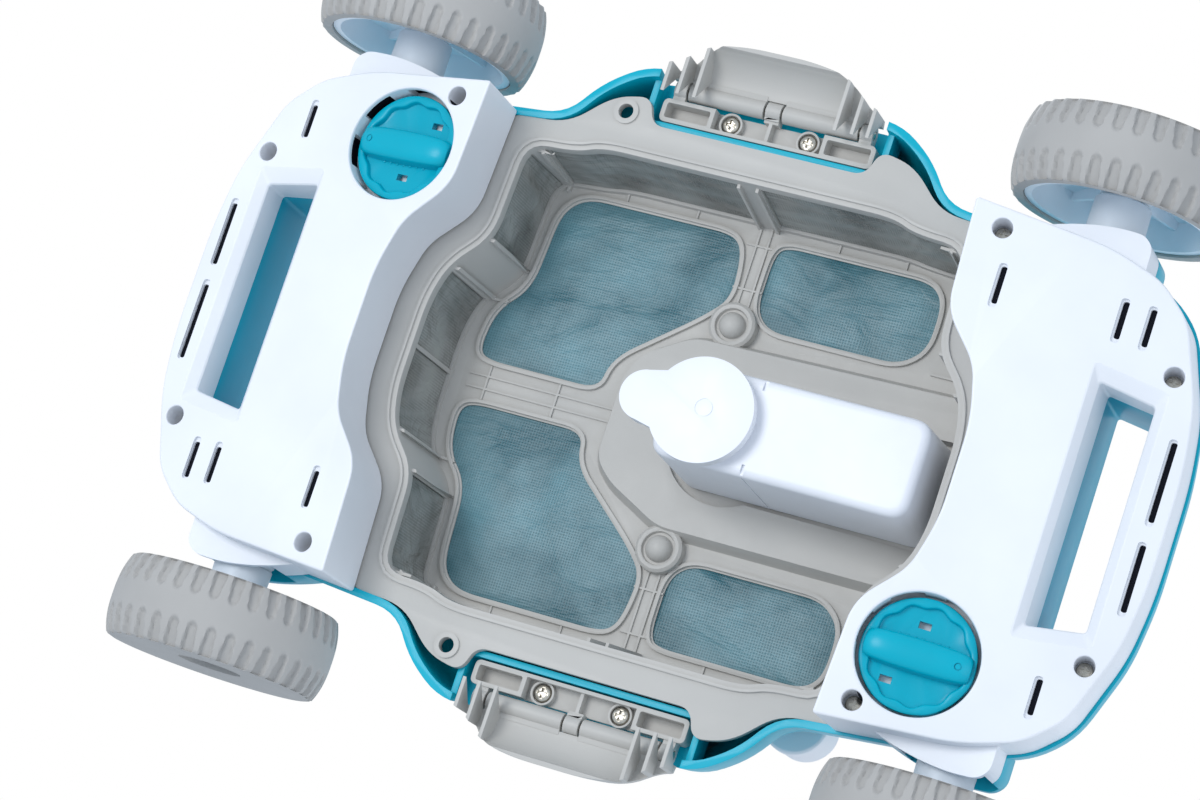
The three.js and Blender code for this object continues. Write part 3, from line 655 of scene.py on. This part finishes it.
def upper_shell():
    shell = meet(copy_of(hollow_shell), box(-300, 300, -200, 200, 0, SHELL_SPLIT_Z))
    solid_dome = dome(shell_plan, 0, PARTING_Z + GAP)
    for end in (1, -1):
        tube = handle_prism(WALL, PARTING_Z + GAP, 90)
        hole = handle_prism(0, 0, 120)
        collar = handle_prism(WALL, 70, 82)
        if end > 0:
            for tool in (tube, hole, collar):
                half_turn(tool)
        join(shell, meet(tube, solid_dome, keep=True), collar)
        cut(shell, hole)
    for side in (1, -1):
        lining = box(-49.5, 49.5, *span(side, 106.8, 140), PARTING_Z + 4.5, 63)
        join(shell, meet(lining, solid_dome, keep=True))
        cut(shell, box(-47, 47, *span(side, 109.2, 140), PARTING_Z - 5, 60.5))
        for end in (1, -1):
            pivot = end * PIVOT_X
            join(shell, hood(end, side, PARTING_Z + GAP, 61.5))
            cut(shell, box(pivot - ARM_SPACE_HALF, pivot + ARM_SPACE_HALF,
                           *span(side, SHELL_ARM_SPACE_START, ARM_SPACE_END), 40, 57.5))
        cut(shell, moved(disc(NOZZLE_RADIUS + GAP, 95.7, 150), NOZZLE_X, side * NOZZLE_Y))
    bpy.data.objects.remove(solid_dome)
    return shell


finish_piece(upper_shell(), "shell_moulding", "root", TEAL, ("upper_shell",), bevel=0.5)


def top_cover():
    cover = meet(copy_of(hollow_shell), box(-300, 300, -200, 200, SHELL_SPLIT_Z + GAP, 200))
    cut(cover, moved(disc(BUTTON_HOLE, 100, 200), BUTTON_X, 0))
    for side in (1, -1):
        cut(cover, moved(disc(NOZZLE_RADIUS + GAP, 95.7, 180), NOZZLE_X, side * NOZZLE_Y))
    return join(cover, moved(cut(disc(11.3, 141, 149), disc(BUTTON_HOLE, 130, 160)), BUTTON_X, 0))


finish_piece(top_cover(), "top_moulding", "root", WHITE, ("top_cover",), bevel=0.6)
bpy.data.objects.remove(hollow_shell)


# ---------- filter basket ----------

tub_rim = rounded(mirrored(TUB_RIM_QUARTER), 9, 5)
tub_floor = rounded(mirrored(TUB_FLOOR_QUARTER), 9, 5)
large_window = rounded(LARGE_WINDOW, 9)
small_window = rounded(SMALL_WINDOW, 8)
FLOOR_WINDOWS = [large_window, small_window, flipped(large_window), flipped(small_window)]


def tub(grow, z0, z1):
    return loft([[(x, y, z0) for x, y in inset(tub_rim, -grow)],
                 [(x, y, z1) for x, y in inset(tub_floor, -grow)]])


def wall_windows(grow):
    windows = []
    z0, z1 = WINDOW_Z[0] - grow, WINDOW_Z[1] + grow
    for y0, y1 in SIDE_WINDOWS:
        windows.append(box(-125, -80, y0 - grow, y1 + grow, z0, z1))
    for y0, y1 in (SIDE_WINDOWS[0], SIDE_WINDOWS[3]):
        windows.append(box(80, 125, y0 - grow, y1 + grow, z0, z1))
    for x0, x1 in LONG_WINDOWS:
        for y0, y1 in ((-110, -80), (80, 110)):
            windows.append(box(x0 - grow, x1 + grow, y0, y1, z0, z1))
    return windows


def wall_ribs(basket):
    """Thin fins beside the wall windows, and short ribs from their feet across the floor edge."""
    band = cut(tub(1.2, RIM_Z + 4, BASKET_TOP_Z + 1), tub(-1.7, RIM_Z, BASKET_TOP_Z + 2))
    foot = tub(1.2, BASKET_TOP_Z - 1.2, BASKET_TOP_Z + 1)
    half = 0.6
    for y in (-87, -47.5, -33.5, 33.5, 47.5, 87):
        for x0, x1, foot_end in ((-130, -80, -90), (80, 130, 130)):
            join(basket, meet(box(x0, x1, y - half, y + half, 40, 99), band, keep=True))
            fin_foot = box(x0, foot_end, y - half, y + half, BASKET_TOP_Z - 1.2, 99)
            join(basket, meet(fin_foot, foot, keep=True))
    for x in (-84.5, -3.8, 3.8, 84.5):
        for y0, y1 in ((-120, -80), (80, 120)):
            join(basket, meet(box(x - half, x + half, y0, y1, 40, 99), band, keep=True))
    for x in (-60, -30, 30, 58):
        for y0, y1 in ((-95, -83.5), (83.5, 95)):
            join(basket, meet(box(x - 0.4, x + 0.4, y0, y1, BASKET_TOP_Z - 0.9, 99), foot, keep=True))
    bpy.data.objects.remove(band)
    bpy.data.objects.remove(foot)


def floor_ribs(inside):
    """Low ribs that frame the spine and the gaps between the windows."""
    low = BASKET_TOP_Z - 0.9
    ribs = [box(-100, -36, y - 0.4, y + 0.4, low, BASKET_TOP_Z + 1) for y in (-2.6, 2.6)]
    ribs += [box(x - 0.4, x + 0.4, -7, 7, low, BASKET_TOP_Z + 1) for x in (-92, -62)]
    for side in (-1, 1):
        ribs += [box(x - 0.4, x + 0.4, *span(side, 54, 88), low, BASKET_TOP_Z + 1) for x in (-3, 1.6)]
        for y in (side * 62, side * 80):
            ribs.append(box(-7, 6, y - 0.4, y + 0.4, low, BASKET_TOP_Z + 1))
    return [meet(rib, inside, keep=True) for rib in ribs]


def basket_frame():
    flange = prism(rounded(mirrored(FLANGE_QUARTER), all_quarters(FLANGE_RADII)), RIM_Z, RIM_Z + 3)
    basket = cut(join(flange, tub(2.4, RIM_Z + 1, BASKET_TOP_Z + 2.4)), tub(0, RIM_Z - 1, BASKET_TOP_Z))
    join(basket, cut(prism(inset(tub_rim, -3), RIM_Z - 1.3, RIM_Z + 1), prism(inset(tub_rim, -1.9), 0, 90)))
    inside = tub(0.8, RIM_Z - 1, BASKET_TOP_Z + 1)
    crest = rounded(ISLAND, 5)
    island = loft([[(x, y, BASKET_TOP_Z - 7) for x, y in crest],
                   [(x, y, BASKET_TOP_Z + 1) for x, y in inset(crest, -3)]])
    well_top = BASKET_TOP_Z - 4
    cut(island, slab(-3.5, 130, -21.5, 21.5, 0, well_top, 8), moved(disc(25, 0, well_top), PUMP_X - 3, 0))
    join(basket, meet(island, inside, keep=True))
    join(basket, *floor_ribs(inside))
    for window in FLOOR_WINDOWS:
        lip = cut(prism(inset(window, -1.0), BASKET_TOP_Z - 1.5, BASKET_TOP_Z + 1),
                  prism(inset(window, 0.4), 60, 99))
        join(basket, meet(lip, inside, keep=True))
    bpy.data.objects.remove(inside)
    wall_ribs(basket)
    for side in (1, -1):
        stud = turned([(0, 82.5), (2.4, 82.8), (4.2, 84), (5.2, 86), (5.3, 87.4), (6.4, 87.4), (6.8, 85.8),
                       (8.2, 85.6), (9.4, 86.6), (9.6, 92), (0, 92)])
        join(basket, moved(stud, STUD_X, side * STUD_Y))
        join(basket, moved(disc(5, RIM_Z - 1, RIM_Z + 1, 48), EAR_X, side * EAR_Y))
        cut(basket, moved(disc(3, 0, 60, 40), EAR_X, side * EAR_Y))
    cut(basket, *wall_windows(0))
    for window in FLOOR_WINDOWS:
        cut(basket, prism(inset(window, 1.2), BASKET_TOP_Z - 2, BASKET_TOP_Z + 9))
        cut(basket, prism(window, BASKET_TOP_Z + 0.8, BASKET_TOP_Z + 9))
    return cut(basket, moved(disc(4, 60, 110, 40), PUMP_X, 0))


finish_piece(basket_frame(), "basket_moulding", "root", GREY, ("filter_basket",),
             bevel=0.45)


def slack(obj, depth, seed):
    """Lets a mesh panel hang and pucker a little, without leaving its frame."""
    low = [min(v.co[i] for v in obj.data.vertices) for i in range(3)]
    high = [max(v.co[i] for v in obj.data.vertices) for i in range(3)]
    for v in obj.data.vertices:
        t = [(v.co[i] - low[i]) / max(high[i] - low[i], 1e-6) for i in range(2)]
        middle = (4 * t[0] * (1 - t[0]) * 4 * t[1] * (1 - t[1])) ** 0.5
        ripple = noise.noise(Vector((v.co.x * 55, v.co.y * 30, seed))) * 0.7
        v.co.z -= depth * MM * middle * (0.55 + ripple)
    return obj


def floor_panel(window):
    """A thin sheet on a fine grid, so that it can sag, cut to its window."""
    xs, ys = [p[0] for p in window], [p[1] for p in window]
    step = 2.5
    z0, z1 = BASKET_TOP_Z + 1.1, BASKET_TOP_Z + 1.6
    nx, ny = int((max(xs) - min(xs)) / step) + 3, int((max(ys) - min(ys)) / step) + 3
    vertices, faces = [], []
    for z in (z0, z1):
        vertices += [(min(xs) - step + i * step, min(ys) - step + j * step, z)
                     for i in range(nx) for j in range(ny)]
    layer = nx * ny
    for i in range(nx - 1):
        for j in range(ny - 1):
            a, b, c, d = i * ny + j, (i + 1) * ny + j, (i + 1) * ny + j + 1, i * ny + j + 1
            faces += [(a, d, c, b), (a + layer, b + layer, c + layer, d + layer)]
    for i in range(nx - 1):
        for j, flip in ((0, False), (ny - 1, True)):
            a, b = i * ny + j, (i + 1) * ny + j
            faces.append((a, b, b + layer, a + layer)[::-1 if flip else 1])
    for j in range(ny - 1):
        for i, flip in ((0, True), (nx - 1, False)):
            a, b = i * ny + j, i * ny + j + 1
            faces.append((a, b, b + layer, a + layer)[::-1 if flip else 1])
    return meet(make(vertices, faces), prism(inset(window, 0.3), z0 - 3, z1 + 3))


FLOOR_PANELS = ["floor_mesh_large_front", "floor_mesh_small_front", "floor_mesh_large_back",
                "floor_mesh_small_back"]
for index, (panel_name, window) in enumerate(zip(FLOOR_PANELS, FLOOR_WINDOWS)):
    panel = slack(floor_panel(window), 1.6, index * 7.3)
    finish_piece(panel, panel_name + "_weave", "root", MESH, (panel_name,), bevel=0)

WALL_PANELS = ["side_mesh_left_1", "side_mesh_left_2", "side_mesh_left_3", "side_mesh_left_4",
               "side_mesh_right_1", "side_mesh_right_2", "long_mesh_front_1", "long_mesh_back_1",
               "long_mesh_front_2", "long_mesh_back_2"]
wall_skin = cut(tub(1.5, RIM_Z, BASKET_TOP_Z + 1), tub(1.0, RIM_Z - 1, BASKET_TOP_Z + 2))
for panel_name, window in zip(WALL_PANELS, wall_windows(-0.3)):
    panel = meet(window, wall_skin, keep=True)
    finish_piece(panel, panel_name + "_weave", "root", WALL_MESH, (panel_name,), bevel=0)
bpy.data.objects.remove(wall_skin)


# ---------- drive housing ----------

def drive_housing():
    outline = rounded([(-2, -20), (103, -20), (103, 20), (-2, 20)], 9)
    edge = []
    for k in range(9):
        turn = math.pi * k / 16
        edge.append((HOUSING_EDGE * (1 - math.sin(turn)), HOUSING_Z + HOUSING_EDGE * (1 - math.cos(turn))))
    body = loft([[(x, y, z) for x, y in inset(outline, back + 0.8)] for back, z in edge]
                + [[(x, y, 85.2) for x, y in outline]])
    cut(body, slab(2.5, 98.5, -15.5, 15.5, 41.5, 90, 5))
    for x, side in ((35.6, -1), (37, 1)):
        cut(body, box(x - 0.7, x + 0.7, *span(side, 14.5, 30), 37, 39.3),
            box(x - 0.25, x + 0.25, *span(side, 19, 30), 37, 84))
    return cut(body, moved(disc(4.5, 0, 60, 40), PUMP_X, 0))


def motor_cap():
    base = moved(disc(18.5, 33, 37.7, 96), PUMP_X, 0)
    blend = rounded([(-9, -9.3), (3, -12), (3, 12), (-9, 9.3)], 1)
    cap = join(moved(disc(20.5, CAP_Z, 34.5, 96), PUMP_X, 0), moved(disc(9.8, CAP_Z, 37.7, 64), -6, 0),
               prism(blend, CAP_Z, 34.5), base)
    ring_mark = cut(disc(3.6, CAP_Z - 1, CAP_Z + 0.3, 48), disc(3.2, 20, 40, 48))
    return cut(cap, moved(ring_mark, PUMP_X + 1, -1))


finish_piece(drive_housing(), "housing_moulding", "root", HOUSING_WHITE,
             ("drive_housing",), bevel=0, smooth=30)
finish_piece(motor_cap(), "motor_cap_moulding", "root", HOUSING_WHITE, ("motor_cap",),
             bevel=0.7, segments=4)


# ---------- wheels ----------

TREAD_BLOCKS = 36
TYRE_BORE, SHOULDER = 36.8, 10.5
STEERED = {"left_front": "arm_left_front", "right_back": "arm_right_back"}


def tyre():
    """A crowned ring with a closed outer side; both shoulders carry a row of round-ended grooves."""
    around, across = TREAD_BLOCKS * 14, 40
    vertices, faces = [], []
    for s in range(around):
        a = 2 * math.pi * s / around
        ring = [(TYRE_BORE, 0.0), (40.4, 0.0)]
        for k in range(across + 1):
            u = k / across
            y = 0.5 + u * (WHEEL_WIDTH - 1.0)
            off_middle = abs(2 * u - 1)
            crown = WHEEL_RADIUS - 2.6 * off_middle ** 2.6
            row = 0 if u < 0.5 else 1
            reach = min(y, WHEEL_WIDTH - y)
            phase = (a * TREAD_BLOCKS / (2 * math.pi) + 0.5 * row) % 1.0 - 0.5
            sideways = abs(phase) * 2 * math.pi * WHEEL_RADIUS / TREAD_BLOCKS
            half = 1.55 + 0.95 * max(0.0, 1 - reach / SHOULDER)
            distance = math.hypot(sideways / half, max(0.0, reach - 9.0) / 1.6)
            groove = min(1.0, max(0.0, (1.18 - distance) / 0.36))
            depth = 1.5 + 0.9 * max(0.0, 1 - reach / SHOULDER)
            ring.append((crown - depth * groove * groove * (3 - 2 * groove), y))
        ring += [(39.8, WHEEL_WIDTH), (12.5, WHEEL_WIDTH - 0.6), (12.5, WHEEL_WIDTH - 2.6),
                 (TYRE_BORE, WHEEL_WIDTH - 2.2)]
        vertices += [(r * math.cos(a), r * math.sin(a), y) for r, y in ring]
    count = len(ring)
    for s in range(around):
        t = (s + 1) % around
        for k in range(count):
            n = (k + 1) % count
            faces.append((s * count + k, s * count + n, t * count + n, t * count + k)[::-1])
    return make(vertices, faces)


def hub():
    rim = cut(disc(36.5, 1, WHEEL_WIDTH - 2.8, 96), disc(33.6, 0, WHEEL_WIDTH, 96))
    body = join(rim, turned([(0, 15), (20, 14.2), (35, 12.5), (35, 15.5), (20, 17.2), (0, 18)], 96),
                turned([(0, 9), (9.9, 9), (10.5, 12), (10.5, 26), (0, 26)], 64))
    for i in range(5):
        join(body, turned_by(box(9, 34.5, -0.9, 0.9, 9.5, 24), i * 72 + 30, "Z"))
    return cut(body, disc(4.4, -5, 40, 40), disc(7, 22.5, 40, 48))


def axle_arm():
    sleeve = turned([(0, 88), (12, 88), (11.5, 99), (11.4, 99.8), (10.8, 100.2), (10.8, 101),
                     (11.3, 101.4), (10.9, 117.2), (10.2, 118), (4, 118), (4, 134), (0, 134)], 80)
    moved(along_y(sleeve), 0, 0, AXLE_Z)
    arm = join(sleeve, box(-8, 8, PIVOT_Y, 92, 36, 52), moved(disc(9, 35, 53.5, 48), 0, PIVOT_Y))
    return cut(arm, moved(disc(3.3, 20, 70, 32), 0, PIVOT_Y),
               moved(along_y(disc(1.5, 126, 140, 24)), 0, 0, AXLE_Z))


def at_corner(obj, end, side):
    if side < 0:
        half_turn(obj)
    return moved(obj, end * WHEEL_X)


def on_axle(obj, end, side, along=0.0):
    """Stands a round part on the axle at one corner, its +Z pointing outwards."""
    return at_corner(moved(along_y(obj), 0, along, AXLE_Z), end, side)


tyre_source, hub_source, arm_source = tyre(), hub(), axle_arm()
for corner, end, side in CORNERS:
    wheel_body = "wheel_" + corner
    tread = on_axle(copy_of(tyre_source), end, side, WHEEL_INNER_Y)
    finish_piece(tread, "tread_" + corner, wheel_body, TYRE, ("tyre_" + corner,),
                 bevel=0, smooth=60)
    hub_piece = on_axle(copy_of(hub_source), end, side, WHEEL_INNER_Y)
    finish_piece(hub_piece, "hub_moulding_" + corner, wheel_body, HUB, ("hub_" + corner,),
                 bevel=0.5)
    head = join(moved(screw_head(5, 2.1), 0, 0, 134.3), disc(1.2, 128, 134.8, 24))
    finish_piece(on_axle(head, end, side), "hub_bolt_" + corner, wheel_body, STEEL,
                 ("hub_screw_" + corner,), bevel=0.15, segments=2)
    arm_piece = at_corner(copy_of(arm_source), end, side)
    finish_piece(arm_piece, "arm_moulding_" + corner, STEERED.get(corner, "root"), SLEEVE,
                 ("axle_arm_" + corner,), bevel=0.5)
for source in (tyre_source, hub_source, arm_source):
    bpy.data.objects.remove(source)


# ---------- steering knobs ----------

def scallops(radius):
    """A circle with eleven shallow waves."""
    out = []
    for s in range(240):
        a = 2 * math.pi * s / 240
        wavy = radius + 0.6 * math.cos(11 * a)
        out.append((wavy * math.cos(a), wavy * math.sin(a)))
    return out


def knob():
    """A sunk disc with a scalloped rim and a crowned grip bar across it."""
    r = KNOB_RADIUS
    plate = turned([(0, 4.6), (r - 0.7, 4.6), (r - 0.2, 4.8), (r, 5.3), (r, 10), (0, 10)], 160)
    steps = ((-2, -2.6), (4.6, -2.6), (4.8, -3.0), (5.3, -3.3), (6.5, -3.3), (7.0, -3.5), (7.2, -4.0))
    cut(plate, loft([[(x, y, z) for x, y in scallops(r + grow)] for z, grow in steps]))
    sections = []
    for k in range(41):
        t = math.pi * (k / 40 - 0.5)
        half = 1.8 + 4.3 * max(0.0, math.cos(t)) ** 0.3
        crest = 0.2 + 2.4 * abs(math.sin(t)) ** 6
        x = GRIP_REACH * math.sin(t)
        arc = [(x, half * math.cos(math.pi * j / 16), crest + 3.2 - 3.2 * math.sin(math.pi * j / 16) ** 0.7)
               for j in range(17)]
        sections.append(arc + [(x, -half - 0.5, 8.0), (x, half + 0.5, 8.0)])
    join(plate, loft(sections))
    for x, y in ((9, -11), (1, 11.5)):
        cut(plate, box(x - 2.3, x + 2.3, y - 1.3, y + 1.3, 6, 11))
    for i in range(7):
        join(plate, moved(turned([(0, 6.6), (0.5, 6.7), (0.8, 7.4), (0, 7.4)], 12), -9 + 3 * i, 6.4))
    cut(plate, moved(cut(disc(1.4, -1, 1.2, 32), disc(1.0, -2, 3, 32)), -15, 0))
    return join(plate, disc(4, 7.5, 16, 32))


for knob_name in ("left", "right"):
    dial = at_knob(knob())
    if knob_name == "right":
        half_turn(dial)
    finish_piece(dial, "knob_moulding_" + knob_name, "knob_" + knob_name, TEAL,
                 ("steering_knob_" + knob_name,), bevel=0)


# ---------- latches ----------

def rod(radius, x0, x1):
    return moved(along_x(disc(radius, x0, x1, 40)), 0, HINGE_Y, HINGE_Z)


def latch_base():
    base = slab(-44, 44, 110, 119.4, 51.5, 60.2, 2.5)
    for x0, x1 in ((-41, -36), (-3, 3), (36, 41)):
        join(base, rod(BARREL_RADIUS, x0, x1), box(x0, x1, 118, HINGE_Y, 52, 57.6))
    cut(base, box(-22.5, 22.5, 111.4, 120, 45, 57.6))
    join(base, box(-0.7, 0.7, 111, 119.4, 53, 58), rod(BARREL_RADIUS, -3, 3),
         box(-3, 3, 119, HINGE_Y, 53, 57.6))
    for end in (1, -1):
        x = end * LATCH_SCREW_X
        join(base, moved(disc(4.7, 54.6, 58.5, 48), x, LATCH_SCREW_Y))
        cut(base, moved(disc(1.6, 40, 70, 24), x, LATCH_SCREW_Y),
            moved(disc(3.9, 40, 57, 40), x, LATCH_SCREW_Y))
        cut(base, slab(*span(end, 24.2, 42.2), 111.8, 117.8, 45, 59.2, 1))
    return cut(base, rod(HINGE_BORE, -50, 50))


def swept_x(profile, x0, x1):
    """Sweeps a profile given outwards and upwards from the hinge along X."""
    ring = [(HINGE_Y + a, HINGE_Z + b) for a, b in profile]
    return loft([[(x, y, z) for y, z in ring] for x in (x0, x1)])


def latch():
    body = swept_x(LATCH_PLATE, -43, 43)
    for x in (-42.2, -36, -29, 29, 36, 42.2):
        join(body, swept_x(LATCH_RIB, x - 0.7, x + 0.7))
    edge = LATCH_EDGE + [(-x, y) for x, y in LATCH_EDGE[::-1]]
    meet(body, prism(rounded(edge, LATCH_EDGE_RADII + LATCH_EDGE_RADII[::-1]), 30, 70))
    for x0, x1 in ((-35, -4), (4, 35)):
        join(body, rod(BARREL_RADIUS, x0, x1),
             box(x0, x1, HINGE_Y + 1.5, HINGE_Y + 5, HINGE_Z - 2, HINGE_Z + 1.5))
    return cut(body, rod(HINGE_BORE, -50, 50))


for name in ("back", "front"):
    pieces = [(latch_base(), "latch_base_moulding_", "root", "grey_plastic", GREY, "latch_base_"),
              (latch(), "latch_moulding_", "latch_" + name, "grey_plastic", GREY, "latch_"),
              (rod(PIN_RADIUS, -41, 41), "hinge_rod_", "root", "screw_steel", STEEL, "latch_pin_")]
    for piece, stem, body_name, slot, material, node_stem in pieces:
        if name == "front":
            half_turn(piece)
        finish_piece(piece, stem + name, body_name, material, (node_stem + name,), bevel=0.3)
    for number, x in ((1, -LATCH_SCREW_X), (2, LATCH_SCREW_X)):
        screw = moved(turned_by(screw_head(3.5, 2.3), 180, "X"), 0, 0, 56.7)
        join(screw, disc(1.3, 56, 60, 24))
        moved(screw, x, LATCH_SCREW_Y)
        if name == "front":
            half_turn(screw)
        finish_piece(screw, f"latch_bolt_{name}_{number}", "root", STEEL,
                     (f"latch_screw_{name}_{number}",), bevel=0.12, segments=2)


# ---------- nozzles and button ----------

def nozzle():
    r = NOZZLE_RADIUS
    body = turned([(0, 96), (r - 1, 96), (r, 97), (r, 101), (r - 0.6, 101.6), (r - 0.6, 116),
                   (r - 1.6, 119.5), (r - 3, 122), (0, 122)], 96)
    return cut(body, disc(NOZZLE_BORE, 99, 130, 80))


for name, side in (("front", -1), ("back", 1)):
    jet = moved(nozzle(), NOZZLE_X, side * NOZZLE_Y)
    finish_piece(jet, "nozzle_moulding_" + name, "root", WHITE, ("jet_nozzle_" + name,),
                 bevel=0.4)
button = turned([(0, 144), (BUTTON_RADIUS, 144), (BUTTON_RADIUS, 150.4), (8.2, 151.2), (6, 151.7),
                 (0, 151.8)], 64)
finish_piece(moved(button, BUTTON_X, 0), "button_cap", "button", TEAL, ("power_button",),
             bevel=0.2)


# ---------- floor, light and camera ----------

def pale_floor():
    mesh = bpy.data.meshes.new("floor")
    reach = 6.0
    mesh.from_pydata([(-reach, -reach, 0), (reach, -reach, 0), (reach, reach, 0), (-reach, reach, 0)], [],
                     [(0, 1, 2, 3)])
    floor = bpy.data.objects.new("floor", mesh)
    bpy.context.scene.collection.objects.link(floor)
    material, nodes, links, shader, _ = start_material("pale_floor")
    shader.inputs["Base Color"].default_value = (0.86, 0.87, 0.88, 1)
    shader.inputs["Roughness"].default_value = 0.6
    clear = nodes.new("ShaderNodeBsdfTransparent")
    sides = nodes.new("ShaderNodeNewGeometry")
    mix = nodes.new("ShaderNodeMixShader")
    links.new(sides.outputs["Backfacing"], mix.inputs["Fac"])
    links.new(shader.outputs[0], mix.inputs[1])
    links.new(clear.outputs[0], mix.inputs[2])
    output = next(n for n in nodes if n.type == "OUTPUT_MATERIAL")
    links.new(mix.outputs[0], output.inputs["Surface"])
    mesh.materials.append(material)
    floor.visible_shadow = False
    floor.visible_diffuse = False
    floor.visible_glossy = False


def soft_light(name, place, target, size, power):
    data = bpy.data.lights.new(name, "AREA")
    data.shape = "DISK"
    data.size = size
    data.energy = power
    lamp = bpy.data.objects.new(name, data)
    lamp.location = place
    lamp.rotation_euler = (Vector(target) - Vector(place)).to_track_quat("-Z", "Y").to_euler()
    bpy.context.scene.collection.objects.link(lamp)


CAMERA_PLACE = Vector((0.5045, 0.2701, -1.3933))
PICTURE_RIGHT = Vector((0.9085, -0.3118, 0.2783))
PICTURE_DOWN = Vector((0.2404, 0.9346, 0.2622))
LENS_MM = 123.35


def camera_below():
    forward = PICTURE_RIGHT.cross(PICTURE_DOWN).normalized()
    data = bpy.data.cameras.new("camera")
    data.lens = LENS_MM
    data.sensor_width = 36.0
    data.clip_start = 0.05
    camera = bpy.data.objects.new("camera", data)
    columns = [PICTURE_RIGHT, -PICTURE_DOWN, -forward]
    rotation = Matrix([[c[i] for c in columns] for i in range(3)])
    camera.matrix_world = Matrix.Translation(CAMERA_PLACE) @ rotation.to_4x4()
    bpy.context.scene.collection.objects.link(camera)
    bpy.context.scene.camera = camera


def studio():
    world = bpy.data.worlds.new("studio")
    world.use_nodes = True
    nodes, links = world.node_tree.nodes, world.node_tree.links
    background = nodes["Background"]
    path = nodes.new("ShaderNodeLightPath")
    tint = nodes.new("ShaderNodeMix")
    tint.data_type = "RGBA"
    tint.inputs["A"].default_value = (0.62, 0.70, 0.80, 1)
    tint.inputs["B"].default_value = (1, 1, 1, 1)
    links.new(path.outputs["Is Camera Ray"], tint.inputs["Factor"])
    links.new(tint.outputs["Result"], background.inputs["Color"])
    bpy.context.scene.world = world
    bpy.context.scene.view_settings.view_transform = "Standard"
    middle = (0, 0, 0.06)
    left_of_view = CAMERA_PLACE - PICTURE_RIGHT * 1.0 - PICTURE_DOWN * 0.8
    soft_light("key_below", left_of_view, middle, 0.9, 17)
    soft_light("fill_below", CAMERA_PLACE + PICTURE_RIGHT * 1.2, middle, 1.2, 4)
    soft_light("key_above", (-0.9, -1.3, 1.7), middle, 0.9, 22)
    soft_light("fill_above", (1.6, 0.9, 1.2), middle, 1.4, 8)


pale_floor()
camera_below()
studio()
